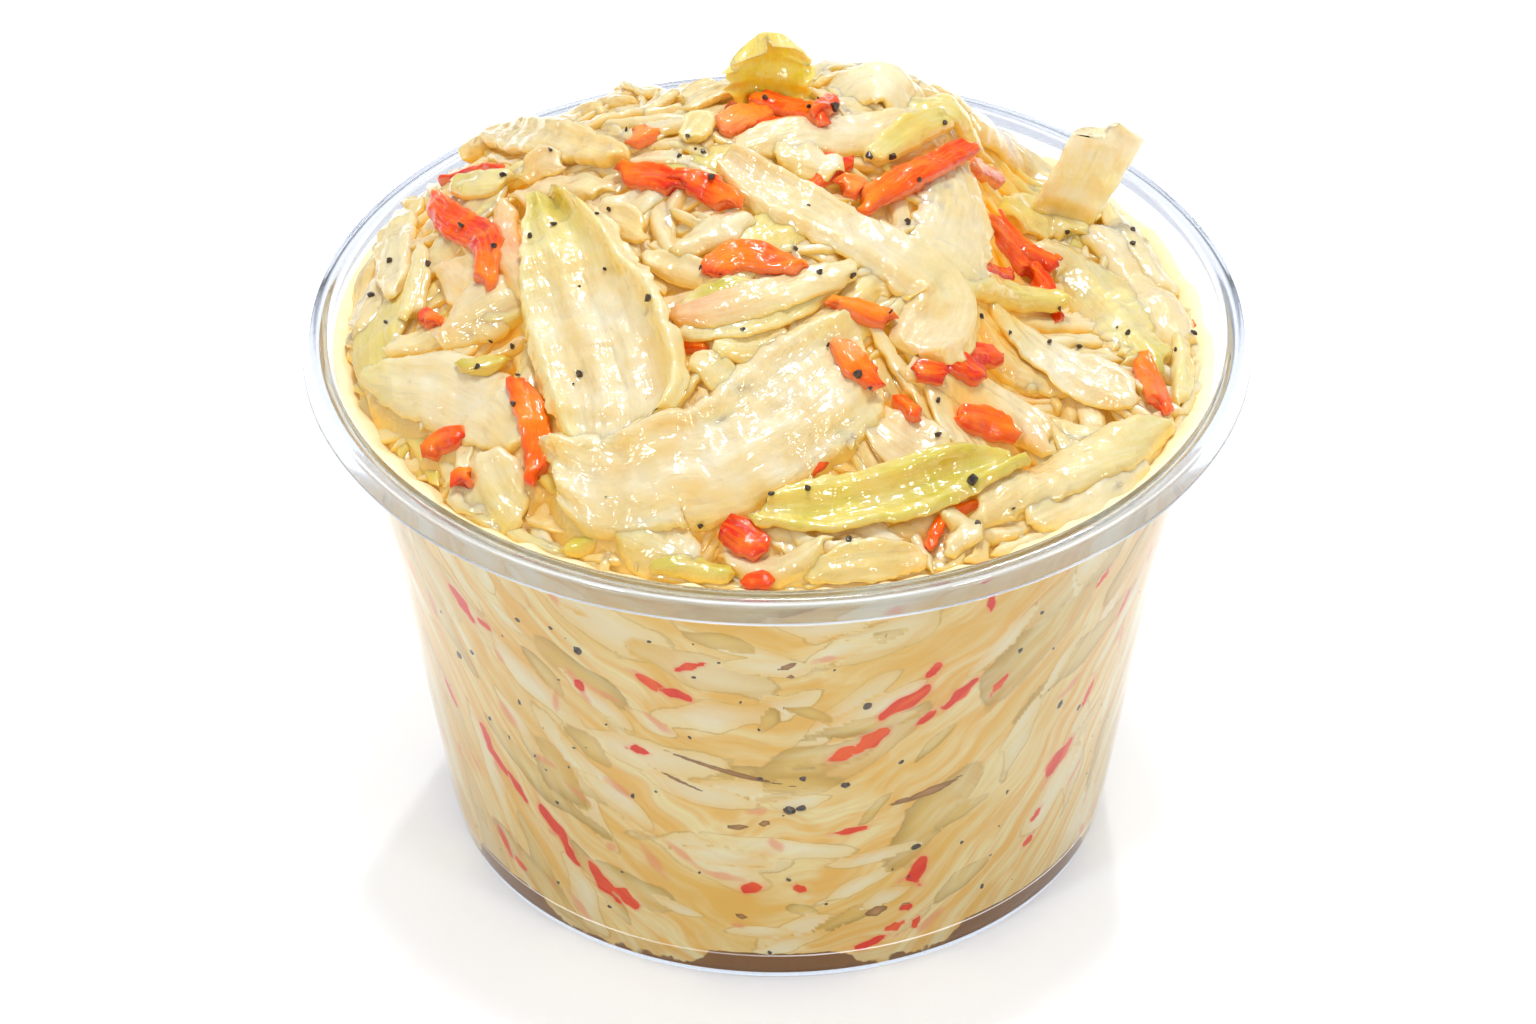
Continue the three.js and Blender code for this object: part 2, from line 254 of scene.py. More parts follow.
def stamp(surface, loose):
    # rows x columns x 3, made twice as fine so that no cell is missed
    fine = surface
    for axis in (0, 1):
        fine = np.moveaxis(fine, axis, 0)
        between = (fine[:-1] + fine[1:]) / 2
        mixed = np.empty((len(fine) + len(between),) + fine.shape[1:])
        mixed[0::2], mixed[1::2] = fine, between
        fine = np.moveaxis(mixed, 0, axis)
    spots = fine.reshape(-1, 3)
    i = np.clip(np.round((spots[:, 0] + field["reach"]) / field["step"]).astype(int), 0, axisCells - 1)
    j = np.clip(np.round((spots[:, 1] + field["reach"]) / field["step"]).astype(int), 0, axisCells - 1)
    np.maximum.at(heights, (i, j), spots[:, 2])
    onTop = spots[:, 2] >= heights[i, j] - 0.02
    isLoose[i[onTop], j[onTop]] = loose


def softened(values, cells):
    kernel = np.hanning(2 * cells + 3)[1:-1]
    kernel /= kernel.sum()
    for axis in (0, 1):
        edged = np.pad(values, [(cells, cells) if k == axis else (0, 0) for k in (0, 1)], mode="edge")
        values = np.apply_along_axis(lambda line: np.convolve(line, kernel, "valid"), axis, edged)
    return values


def swollen(values, cells):
    best = values.copy()
    for axis in (0, 1):
        wide = best.copy()
        for shift in range(1, cells + 1):
            wide = np.maximum(wide, np.maximum(np.roll(best, shift, axis), np.roll(best, -shift, axis)))
        best = wide
    return best


# Where the line of sight through a pixel first meets a height field.
def pixelOnHeap(px, py, surface):
    z = np.arange(92, 46, -0.25)
    x, y = pixelAtHeight(px, py, z)
    under = (z <= sample(surface, x, y)) & (np.hypot(x, y) < 45.5)
    return (x[np.argmax(under)], y[np.argmax(under)]) if under.any() else None


def evenOut(values, rounds):
    for _ in range(rounds):
        padded = np.concatenate([values[:1], values, values[-1:]])
        values = 0.25 * padded[:-2] + 0.5 * padded[1:-1] + 0.25 * padded[2:]
    return values


# Lays a flat route on the heap like a limp strip: it bridges small dips, and leans as what is under it does.
def drape(plan, spec):
    width, thick = float(np.mean(spec["widths"])), spec["thick"]
    stiff, sink = spec.get("stiff", 5), spec.get("sink", 0.35)
    tangent = np.gradient(plan, axis=0)
    tangent /= np.linalg.norm(tangent, axis=1)[:, None]
    side = np.stack([tangent[:, 1], -tangent[:, 0]], 1)
    offsets = np.linspace(-0.42, 0.42, 5) * width
    under = np.stack([sample(heights, plan[:, 0] + side[:, 0] * o, plan[:, 1] + side[:, 1] * o) for o in offsets], 1)
    lean = (under @ offsets) / (offsets @ offsets)
    lean = evenOut(np.clip(lean, -0.8, 0.8), 4 + stiff)
    flat = under - lean[:, None] * offsets
    ground = 0.4 * flat.mean(1) + 0.6 * flat.max(1)
    ground = np.minimum(ground, heapTop(*plan.T) + spec.get("cap", 4.0) + settled(*plan.T))
    z = ground.copy()
    for _ in range(stiff):
        z = np.maximum(evenOut(z, 2), ground - 0.35)
    z = evenOut(z, 2) + thick / 2 - sink
    return np.column_stack([plan, z]), np.arctan(lean)


allPieces = {"shreds": [], "leaves": [], "carrots": []}


# A cabbage or carrot piece round a spine: rounded edges, an uneven outline, a curl and surface relief.
def shapePiece(spine, lean, spec, seed):
    draw = np.random.default_rng(seed)
    count = len(spine)
    across = spec.get("columns", 7)
    run = np.concatenate([[0], np.cumsum(np.linalg.norm(np.diff(spine, axis=0), axis=1))])
    length = run[-1]
    t = run / length
    forward = np.gradient(spine, axis=0)
    forward /= np.linalg.norm(forward, axis=1)[:, None]
    if "side" in spec:
        side = np.tile(np.array(spec["side"], float), (count, 1))
    else:
        side = np.stack([forward[:, 1], -forward[:, 0], np.zeros(count)], 1)
    side -= forward * (side * forward).sum(1)[:, None]
    side /= np.linalg.norm(side, axis=1)[:, None]
    up = np.cross(side, forward)
    lean = lean + spec.get("twist", 0) * (t - 0.5)
    side, up = (side * np.cos(lean)[:, None] + up * np.sin(lean)[:, None],
                up * np.cos(lean)[:, None] - side * np.sin(lean)[:, None])
    widths = np.interp(t, np.linspace(0, 1, len(spec["widths"])), spec["widths"]) / 2 * spec.get("slim", 1)
    endRun = np.minimum(run, length - run)
    widths = widths * (1 - spec.get("taper", 0.4) * np.exp(-endRun / spec.get("taperRun", 2.2)))
    blunt = spec.get("blunt", 0.28) * widths.max()
    tip = np.sqrt(1 - (1 - np.clip(endRun / blunt, 0, 1)) ** 2)
    ragged = spec.get("ragged", 0.25)
    edgeWave = [ragged * ripples(run[:, None], spec.get("raggedSize", 3.2), seed + k, 3) for k in (1, 2)]
    u = np.sin(np.linspace(-1, 1, across) * math.pi / 2)
    body = (1 - np.abs(u) ** spec.get("square", 3.0)) ** 0.5
    thick = spec["thick"] / 2 * np.clip(0.25 + tip, 0, 1)
    slant = draw.uniform(-0.5, 0.5) * widths.max() * spec.get("slant", 1)
    curl = spec.get("curl", draw.uniform(-0.4, 0.3))
    half = (widths[:, None] + np.where(u[None, :] < 0, edgeWave[0][:, None], edgeWave[1][:, None])) \
        * np.clip(0.12 + tip, 0, 1)[:, None]
    flatU = half * u[None, :]
    grid2 = np.stack([np.repeat(run[:, None], across, 1).ravel(), flatU.ravel()], 1)
    relief = spec.get("relief", 0.16) * ripples(grid2, spec.get("reliefSize", 3.2), seed + 5, 2).reshape(count, across)
    if spec.get("ribs", 0):  # lengthwise ribs, as in a leaf's veins
        relief += spec["ribs"] * np.sin(flatU * spec.get("ribPitch", 2.4) + 0.6 * np.sin(run / 4)[:, None])
    for place, rise, spread in spec.get("ridges", ()):  # folds that run along the piece
        relief += rise * np.exp(-((flatU / widths[:, None] - place - 0.08 * np.sin(run / 5)[:, None]) / spread) ** 2)
    bend = curl * widths[:, None] * u[None, :] ** 2 + relief
    ends = (np.clip(1 - t, 0, 1) ** 6 - t ** 6) * slant
    base = spine[:, None, :] + side[:, None, :] * flatU[:, :, None] + forward[:, None, :] * (ends[:, None] * u)[:, :, None]
    top = base + up[:, None, :] * (bend + thick[:, None] * body)[:, :, None]
    low = base + up[:, None, :] * (bend - thick[:, None] * body)[:, :, None]
    ring = np.concatenate([top, low[:, -2:0:-1]], 1)
    size = ring.shape[1]
    verts = ring.reshape(-1, 3)
    caps = np.stack([ring[0].mean(0), ring[-1].mean(0)])
    i, j = np.meshgrid(np.arange(count - 1), np.arange(size), indexing="ij")
    a, b = i * size + j, i * size + (j + 1) % size
    quads = np.stack([a, b, b + size, a + size], -1).reshape(-1, 4)
    k = np.arange(size)
    first, last = count * size, count * size + 1
    tris = np.concatenate([
        np.stack([np.full(size, first), (k + 1) % size, k], 1),
        np.stack([np.full(size, last), (count - 1) * size + k, (count - 1) * size + (k + 1) % size], 1),
    ])
    acrossAll = np.concatenate([flatU, flatU[:, -2:0:-1]], 1).ravel()
    edge = np.concatenate([np.repeat(np.abs(u)[None], count, 0), np.repeat(np.abs(u[-2:0:-1])[None], count, 0)], 1).ravel()
    along = np.repeat(run, size)
    return {
        "verts": np.vstack([verts, caps]),
        "quads": quads,
        "tris": tris,
        "top": top,
        "along": np.append(along, [0, length]),
        "across": np.append(acrossAll, [0, 0]),
        "edge": np.append(edge, [1, 1]),
        "ends": np.append(np.repeat(1 - tip, size), [1, 1]),
    }


# Nothing passes the cup's wall: what would is pressed flat against it.
def keepInside(verts, gap=0.18):
    away = np.hypot(verts[:, 0], verts[:, 1])
    limit = innerRadius(np.minimum(verts[:, 2], cup["rimHeight"])) - gap
    limit = np.where(verts[:, 2] > cup["rimHeight"] - 1.5, np.minimum(limit, cup["flangeInner"] - 0.6), limit)
    scale = np.where((away > limit) & (verts[:, 2] < cup["rimHeight"] + 1), limit / np.maximum(away, 1e-6), 1)
    verts[:, 0] *= scale
    verts[:, 1] *= scale
    return verts


def paintPiece(shape, spec, seed):
    # the colour along a piece runs from its first tint to its last, with a paler or greener edge
    colours = np.array([tints[name] for name in spec["tint"]])
    t = shape["along"] / max(shape["along"].max(), 1e-6)
    stops = np.linspace(0, 1, len(colours))
    colour = np.stack([np.interp(t, stops, colours[:, k]) for k in range(3)], 1)
    spots = np.stack([shape["along"], shape["across"]], 1)
    patch = ripples(spots, 6.0, seed + 9, 2)[:, None]
    if "edgeTint" in spec:
        rim = ease(0.55, 1.0, shape["edge"] + 0.25 * patch[:, 0] * 0.5)[:, None]
        if spec.get("edgeSide"):
            rim = rim * (np.sign(shape["across"]) == spec["edgeSide"])[:, None]
        colour = colour * (1 - rim) + tints[spec["edgeTint"]] * rim
    warm = np.clip(patch, 0, 1) * 0.14
    colour = colour * (1 - warm) + tints["butter"] * warm
    cool = np.clip(-patch, 0, 1) * 0.25
    colour = colour * (1 - cool) + tints["milk"] * cool if spec.get("milky", 1) else colour
    return colour


def addPiece(kind, shape, spec, seed):
    shape["verts"] = keepInside(shape["verts"])
    shape["colour"] = paintPiece(shape, spec, seed)
    if "route" not in spec:
        stamp(shape["top"], kind != "shreds")
    allPieces[kind].append(shape)


def rested(plan, spec):
    route = smoothRoute(plan, spec.get("spacing", 0.8))
    spine, lean = drape(route, spec)
    lifts = spec.get("lift", [0])
    spine[:, 2] += np.interp(np.linspace(0, 1, len(spine)), np.linspace(0, 1, len(lifts)), lifts)
    return route, spine, lean


def layPlan(kind, plan, spec, seed):
    _, spine, lean = rested(plan, spec)
    addPiece(kind, shapePiece(spine, lean, spec, seed), spec, seed)


# Lays a piece so that its middle line is seen at the given pixels.
def layPixels(kind, pixels, spec, seed):
    surface = softened(swollen(heights, 2), 3)
    found = [(p, pixelOnHeap(p[0], p[1], surface)) for p in pixels]
    found = [(p, spot) for p, spot in found if spot is not None]
    if len(found) < 2:
        print("no place on the heap for", pixels)
        return
    pixels = [p for p, _ in found]
    plan = np.array([spot for _, spot in found])
    for _ in range(4):
        route, spine, _ = rested(plan, spec)
        nearest = [np.argmin(np.hypot(*(route - spot).T)) for spot in plan]
        target = np.array([pixelAtHeight(p[0], p[1], spine[k, 2]) for p, k in zip(pixels, nearest)])
        target *= np.minimum(1, 43.6 / np.hypot(*target.T))[:, None]
        plan = plan + 0.8 * (target - plan)
    layPlan(kind, plan, spec, seed)


# A piece that stands up from the heap, on a route given in space.
def standPiece(kind, route, spec, seed):
    spine = smoothRoute([(x, y, heapTop(x, y) + lift) for x, y, lift in route], spec.get("spacing", 0.7))
    addPiece(kind, shapePiece(spine, np.full(len(spine), spec.get("roll", 0.0)), spec, seed), spec, seed)


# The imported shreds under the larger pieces, spread by the golden angle and turned by a seeded draw.
filler = {
    "count": 760,
    "fused": 300,  # the lowest ones, which the dressing makes one mass of
    "seed": 23,
    "lengths": (14.0, 28.0),
    "widths": (1.5, 2.9),
    "thick": (0.9, 1.4),
    "carrotShare": 0.035,
    "reach": 43.4,
    "cap": (-2.2, 1.2),  # how far over the heap's own surface a shred may come to lie
}
fillerTints = [("cream",), ("cream", "milk"), ("milk",), ("butter", "cream"), ("pale", "cream"), ("cream", "peach"),
               ("pale",), ("milk", "pale"), ("leaf", "pale"), ("cream",), ("butter",)]


def layFiller():
    draw = np.random.default_rng(filler["seed"])
    order = draw.permutation(filler["count"])
    for rank, n in enumerate(order):
        r = filler["reach"] * math.sqrt((n + 0.5) / filler["count"])
        turn = n * math.pi * (3 - math.sqrt(5))
        heading = draw.uniform(0, math.pi)
        isCarrot = draw.random() < filler["carrotShare"]
        half = draw.uniform(*filler["lengths"]) / 2 * (0.5 if isCarrot else 1)
        bow = draw.uniform(-0.35, 0.35) * half
        s = np.linspace(-1, 1, 5)
        way = np.array([math.cos(heading), math.sin(heading)])
        plan = np.array([r * math.cos(turn), r * math.sin(turn)]) + s[:, None] * half * way \
            + (1 - s[:, None] ** 2) * bow * np.array([-way[1], way[0]])
        plan *= np.minimum(1, filler["reach"] / np.hypot(*plan.T))[:, None]
        width = draw.uniform(*filler["widths"])
        taper = draw.uniform(0.5, 1.0)
        spec = {
            "widths": [width * taper, width, width * draw.uniform(0.6, 1)],
            "thick": draw.uniform(*filler["thick"]),
            "tint": fillerTints[draw.integers(len(fillerTints))],
            "columns": 7,
            "curl": draw.uniform(-0.25, 0.15),
            "twist": draw.uniform(-0.5, 0.5),
            "ragged": 0.25,
            "relief": 0.12,
            "square": 5.0,
            "cap": draw.uniform(*filler["cap"]),
            "stiff": 4,
            "sink": 0.4,
            "spacing": 0.95,
        }
        if isCarrot:
            spec.update(tint=("carrot", "carrotPale"), thick=1.2, widths=[1.6, 2.6, 1.8])
        kind = "shreds" if rank < filler["fused"] else "carrots" if isCarrot else "leaves"
        layPlan(kind, plan, spec, 1000 + int(n))


print("heap: laying shreds")
layFiller()


# Strips, broader leaves and a few carrot shreds over the whole heap, under the ones that are laid one by one.
# Neighbours lie much the same way.
scatter = {
    "seed": 8,
    "kinds": (
        {"kind": "strip", "count": 84, "length": (13.0, 26.0), "width": (1.4, 3.0), "cap": (0.2, 3.0)},
        {"kind": "leaf", "count": 26, "length": (12.0, 20.0), "width": (4.5, 8.0), "cap": (0.4, 2.4)},
        {"kind": "carrot", "count": 5, "length": (5.5, 9.5), "width": (1.8, 2.8), "cap": (0.8, 2.8)},
    ),
    "reach": 41.5,
    "grain": 46.0,  # how far a common direction reaches
    "stray": 0.38,
}
looseTints = [("milk", "cream"), ("cream", "pale"), ("pale", "leaf"), ("milk",), ("butter", "cream"), ("cream", "peach"),
              ("cream", "milk"), ("pale", "milk"), ("leaf", "pale", "milk"), ("cream",), ("peach", "cream")]


# A few strips cut side by side, lying nearly parallel, each a little further on than the last.
def layFan(plan, width, tint, sort, draw, number):
    way = plan[-1] - plan[0]
    way /= np.linalg.norm(way)
    cap = draw.uniform(*sort["cap"])
    for k in range(draw.integers(1, 5)):
        shift = k * width * draw.uniform(0.8, 1.15) * np.array([-way[1], way[0]]) + draw.normal(0, 2.0) * way
        strand = width * draw.uniform(0.7, 1.2)
        spec = dict(stripCut, widths=[strand * draw.uniform(0.5, 0.9), strand, strand * draw.uniform(0.4, 0.9)], tint=tint,
                    curl=draw.uniform(-0.5, 0.3), twist=draw.uniform(-0.6, 0.6), cap=cap + draw.uniform(-0.4, 0.4),
                    thick=draw.uniform(0.8, 1.2), spacing=0.65, columns=9)
        spot = plan + shift
        spot *= np.minimum(1, scatter["reach"] / np.hypot(*spot.T))[:, None]
        layPlan("leaves", spot, spec, number + k)


def layScatter():
    draw = np.random.default_rng(scatter["seed"])
    number = 3000
    for sort in scatter["kinds"]:
        for n in range(sort["count"]):
            number += 1
            r = scatter["reach"] * math.sqrt((n + draw.uniform(0.2, 0.8)) / sort["count"])
            turn = number * math.pi * (3 - math.sqrt(5))
            middle = np.array([r * math.cos(turn), r * math.sin(turn)])
            heading = 3.0 * float(ripples(middle[None], scatter["grain"], 17)[0]) + draw.normal(0, scatter["stray"])
            half = draw.uniform(*sort["length"]) / 2
            bow = draw.uniform(-0.4, 0.4) * half
            s = np.linspace(-1, 1, 5)
            way = np.array([math.cos(heading), math.sin(heading)])
            plan = middle + s[:, None] * half * way + (1 - s[:, None] ** 2) * bow * np.array([-way[1], way[0]])
            plan *= np.minimum(1, scatter["reach"] / np.hypot(*plan.T))[:, None]
            width = draw.uniform(*sort["width"])
            tint = looseTints[draw.integers(len(looseTints))]
            if sort["kind"] == "strip":
                layFan(plan, width, tint, sort, draw, number * 10)
                continue
            if sort["kind"] == "carrot":
                spec = dict(carrotCut, widths=[width * 0.7, width, width * 0.7], twist=draw.uniform(-0.6, 0.6),
                            tint=("carrot", "carrotPale") if n % 3 else ("carrotDeep", "carrot"))
            else:
                spec = dict(leafCut, widths=[width * 0.45, width, width * 0.8, width * 0.4], tint=tint,
                            curl=draw.uniform(-0.3, 0.1), spacing=0.6, columns=13)
            spec["cap"] = draw.uniform(*sort["cap"])
            layPlan("carrots" if sort["kind"] == "carrot" else "leaves", plan, spec, number)


leafCut = {
    "thick": 1.05,
    "columns": 15,
    "ragged": 0.34,
    "raggedSize": 2.8,
    "relief": 0.24,
    "reliefSize": 3.4,
    "stiff": 8,
    "sink": 0.3,
    "spacing": 0.5,
    "square": 5.0,
    "ribs": 0.1,
    "ribPitch": 2.2,
}
stripCut = {
    "thick": 1.25,
    "columns": 11,
    "ragged": 0.24,
    "relief": 0.15,
    "reliefSize": 3.0,
    "stiff": 7,
    "sink": 0.3,
    "spacing": 0.6,
    "square": 5.0,
    "ribs": 0.13,
    "ribPitch": 3.0,
}
carrotCut = {
    "thick": 1.35,
    "columns": 13,
    "curl": -0.06,
    "ragged": 0.2,
    "raggedSize": 1.8,
    "relief": 0.14,
    "reliefSize": 2.0,
    "ribs": 0.11,
    "ribPitch": 3.6,
    "taper": 0.05,
    "slant": 1.6,
    "slim": 0.82,
    "stiff": 8,
    "sink": 0.35,
    "spacing": 0.5,
    "blunt": 0.14,
    "square": 9.0,
    "milky": 0,
}

# What shows on top, from the lowest piece to the highest. "seen" is where the middle line of a piece is seen,
# in pixels of a 1536 x 1024 picture. Widths are in millimetres from one end to the other.
lowPieces = {
    "backCream": dict(stripCut, seen=[(685, 108), (706, 95), (730, 88)], widths=[4, 6, 5], tint=("cream", "butter")),
    "backRight": dict(stripCut, seen=[(975, 132), (1015, 152), (1060, 180)], widths=[5, 7, 6], tint=("butter", "cream"), cap=6),
    "rightCream": dict(stripCut, seen=[(1090, 228), (1130, 258), (1162, 302), (1184, 345)], widths=[5, 7, 7, 5],
                       tint=("milk", "cream"), thick=1.72),
    "behindTab": dict(stripCut, seen=[(1105, 204), (1138, 243), (1172, 290)], widths=[2.5, 4.5, 3.5], tint=("pale", "milk")),
    "rightEdge": dict(stripCut, seen=[(1180, 335), (1184, 365), (1180, 402)], widths=[2.4, 2.8, 2.4], tint=("pale",)),
    "underTab": dict(leafCut, seen=[(1004, 216), (1042, 216), (1080, 232)], widths=[4, 6.5, 5], tint=("leaf", "pale"),
                     ragged=0.48),
    "rightLeaf": dict(leafCut, seen=[(1035, 244), (1080, 266), (1122, 312), (1163, 362)], widths=[5, 8.5, 8.5, 5],
                      tint=("milk", "pale", "pale", "leaf"), ribs=0.12),
    "rightVeil": dict(leafCut, seen=[(990, 303), (1034, 346), (1085, 376), (1138, 396)], widths=[3, 6, 6.5, 5],
                      tint=("pale", "milk", "milk"), ribs=0.12),
    "rightLow": dict(stripCut, seen=[(1030, 524), (1085, 497), (1146, 460)], widths=[4.5, 6, 4.5], tint=("cream", "milk")),
    "rightBand": dict(stripCut, seen=[(975, 512), (1045, 478), (1112, 446), (1166, 420)], widths=[5, 7, 6.5, 4],
                      tint=("cream", "pale"), thick=1.52),
    "pinkUnder": dict(leafCut, seen=[(868, 412), (905, 440), (955, 452)], widths=[5, 8, 6], tint=("peach", "cream")),
    "wideCream": dict(leafCut, seen=[(905, 368), (972, 386), (1022, 418), (1050, 445)], widths=[4, 7, 6.5, 4],
                      tint=("peach", "cream", "peach"), thick=1.45, ragged=0.19),
    "lowLeaf": dict(leafCut, seen=[(615, 528), (655, 540), (700, 560)], widths=[6, 8, 5], tint=("pale", "milk"), ribs=0.12),
    "lowCream": dict(stripCut, seen=[(805, 572), (850, 562), (925, 555)], widths=[3, 5, 3.5], tint=("pale", "butter")),
    "frontPeach": dict(stripCut, seen=[(722, 558), (762, 571), (800, 560), (828, 540)], widths=[2.6, 3.4, 3.4, 2.6],
                       tint=("peach", "cream", "cream"), thick=1.45),
    "frontGreen": dict(stripCut, seen=[(648, 566), (692, 566), (735, 574)], widths=[2.2, 3, 2.6],
                       tint=("green", "leaf", "green")),
    "frontRagged": dict(stripCut, seen=[(938, 512), (966, 528), (945, 552)], widths=[2.4, 3.6, 2.4], tint=("cream",),
                        ragged=0.6),
    "greenWedge": dict(stripCut, seen=[(562, 548), (580, 542), (600, 534)], widths=[2, 3.6, 3], tint=("leaf", "green")),
    "leftCream": dict(stripCut, seen=[(352, 332), (372, 300), (386, 268)], widths=[4, 6, 4], tint=("cream", "milk")),
    "leftPale": dict(stripCut, seen=[(405, 212), (394, 250), (396, 292)], widths=[3.2, 4.8, 3.8], tint=("pale", "milk"),
                     thick=1.45),
    "wedge": dict(stripCut, seen=[(424, 244), (418, 280), (409, 318)], widths=[1.6, 2.8, 3.4], tint=("cream", "pale")),
    "peachLow": dict(leafCut, seen=[(446, 262), (470, 280), (500, 298)], widths=[4, 7, 5], tint=("peach", "cream")),
    "longCream": dict(stripCut, seen=[(384, 348), (437, 335), (500, 313), (530, 302)], widths=[3, 4, 4.4, 3],
                      tint=("cream", "pale")),
    "fan": dict(leafCut, seen=[(440, 328), (485, 302), (530, 284)], widths=[6, 8.5, 6], tint=("peach", "cream"), ribs=0.16),
    "paleRoll": dict(stripCut, seen=[(452, 182), (480, 184), (512, 180)], widths=[3, 4.4, 3], tint=("leaf", "pale")),
    "topLeft": dict(stripCut, seen=[(467, 157), (495, 138), (540, 140), (590, 152), (625, 160)],
                    widths=[3, 4.8, 5.4, 4.8, 3.4], tint=("butter", "cream", "butter"), thick=1.85, ragged=0.48, relief=0.3),
    "amberBlob": dict(stripCut, seen=[(520, 174), (543, 163), (564, 166)], widths=[3.4, 4.4, 3.2], tint=("butter", "peach")),
    "veined": dict(leafCut, seen=[(515, 197), (560, 190), (608, 190)], widths=[3, 4.6, 4], tint=("peach", "cream"), ribs=0.2),
    "creamBlob": dict(stripCut, seen=[(590, 214), (620, 222), (646, 236)], widths=[3.4, 4.8, 3.6], tint=("cream", "butter")),
    "leftLeaf": dict(leafCut, seen=[(347, 378), (401, 382), (470, 404), (524, 442)], widths=[3, 8, 9.5, 5.5],
                     tint=("pale", "milk", "milk", "cream"), thick=1.32, ragged=0.24),
    "lime": dict(stripCut, seen=[(455, 364), (480, 366), (510, 358)], widths=[1.6, 2.8, 1.6], tint=("olive", "green")),
    "veinLeaf": dict(leafCut, seen=[(482, 452), (495, 487), (522, 518)], widths=[6, 8.5, 6], tint=("milk", "pale"), ribs=0.2),
    "peachStrip": dict(stripCut, seen=[(508, 200), (502, 240), (530, 293)], widths=[3, 4.2, 3.6], tint=("peach", "blush", "cream"),
                       thick=1.58),
    "midLeft": dict(stripCut, seen=[(640, 258), (690, 272), (730, 286)], widths=[3, 3.8, 3], tint=("cream", "butter")),
    "midLobe": dict(stripCut, seen=[(672, 248), (715, 230), (748, 214)], widths=[3, 4.4, 5], tint=("cream", "milk"), ragged=0.48),
    "limeStrip": dict(stripCut, seen=[(680, 304), (722, 294), (762, 284)], widths=[3, 3.8, 2.8], tint=("pale", "green", "pale")),
    "midLowA": dict(stripCut, seen=[(688, 360), (722, 376), (750, 392)], widths=[3, 4.2, 3.4], tint=("cream", "pale")),
    "midLowB": dict(stripCut, seen=[(712, 350), (760, 346), (792, 334)], widths=[3, 4.2, 3.2], tint=("pale", "cream")),
    "midStripB": dict(stripCut, seen=[(680, 332), (740, 320), (800, 300), (842, 279)], widths=[4, 5, 4.2, 2.2],
                      tint=("cream", "pale", "pale", "olive")),
    "midStripA": dict(stripCut, seen=[(668, 318), (723, 307), (787, 288), (858, 267)], widths=[3.4, 4.6, 4.6, 3.6],
                      tint=("blush", "cream", "cream")),
    "greyLeaf": dict(stripCut, seen=[(688, 142), (700, 127), (716, 117)], widths=[3, 4.2, 2.6], tint=("pale",)),
}
lowCarrots = {
    "gapA": dict(carrotCut, seen=[(925, 344), (952, 352), (1000, 354)], widths=[3, 3.6, 3], tint=("carrotDeep", "carrot")),
    "gapB": dict(carrotCut, seen=[(932, 358), (962, 366), (986, 378)], widths=[3, 4, 3], tint=("carrotDeep",)),
    "gapC": dict(carrotCut, seen=[(912, 370), (948, 374)], widths=[3, 3], tint=("carrot", "carrotDeep")),
    "shade": dict(carrotCut, seen=[(968, 271), (990, 272), (1012, 274)], widths=[2, 2.6, 2], tint=("carrotDeep",)),
    "gapD": dict(carrotCut, seen=[(895, 396), (920, 418)], widths=[2, 2.2], tint=("carrot",)),
    "foldA": dict(carrotCut, seen=[(432, 202), (452, 220), (486, 240), (485, 284)], widths=[3.4, 4.6, 4.6, 3],
                  tint=("carrot", "carrot", "carrotDeep", "carrotPale"), twist=0.8),
    "spark": dict(carrotCut, seen=[(514, 379), (530, 410), (537, 446), (535, 480)], widths=[2.2, 4.2, 3.8, 2.6],
                  tint=("carrot", "carrotPale", "carrot")),
    "leftA": dict(carrotCut, seen=[(424, 456), (440, 444), (464, 438)], widths=[3, 3.6, 3], tint=("carrotPale", "carrot")),
    "leftB": dict(carrotCut, seen=[(450, 486), (470, 470)], widths=[3, 3.4], tint=("carrot", "carrotPale")),
    "leftC": dict(carrotCut, seen=[(422, 310), (438, 322)], widths=[2.4, 2.4], tint=("carrotDeep", "carrot")),
    "lowGap": dict(carrotCut, seen=[(722, 517), (740, 533), (766, 552)], widths=[3.8, 4.8, 3.4], tint=("carrotDeep", "carrot")),
    "rimSpark": dict(carrotCut, seen=[(740, 582), (775, 584)], widths=[2, 2.4], tint=("carrot",)),
    "backBlush": dict(carrotCut, seen=[(720, 129), (745, 117), (766, 109)], widths=[3.4, 4.6, 3.4], tint=("blush", "carrotPale")),
    "backDeep": dict(carrotCut, seen=[(757, 131), (784, 121)], widths=[2.6, 2.6], tint=("carrotDeep",)),
    "midTwist": dict(carrotCut, seen=[(706, 273), (735, 256), (765, 259), (806, 267)], widths=[3.4, 4.8, 4.6, 3],
                     tint=("carrot", "carrotPale", "carrot", "carrotPale"), twist=0.7),
    "tuckA": dict(carrotCut, seen=[(811, 180), (828, 168), (844, 159)], widths=[3, 4.2, 3.4], tint=("carrot", "carrotDeep")),
    "tuckB": dict(carrotCut, seen=[(838, 183), (866, 190)], widths=[3, 3.6], tint=("carrotPale", "blush")),
    "forkA": dict(carrotCut, seen=[(987, 225), (1010, 247), (1036, 275)], widths=[3.4, 4.4, 3.6],
                  tint=("carrotPale", "carrot", "carrot")),
    "forkB": dict(carrotCut, seen=[(1012, 250), (1038, 257), (1058, 267)], widths=[2.6, 3, 2.6], tint=("carrot",)),
    "forkC": dict(carrotCut, seen=[(1030, 268), (1045, 290), (1053, 317)], widths=[2.6, 3, 2.8], tint=("carrot", "carrotDeep")),
    "pinkEnd": dict(carrotCut, seen=[(970, 169), (999, 175)], widths=[3, 3], tint=("blush",)),
}
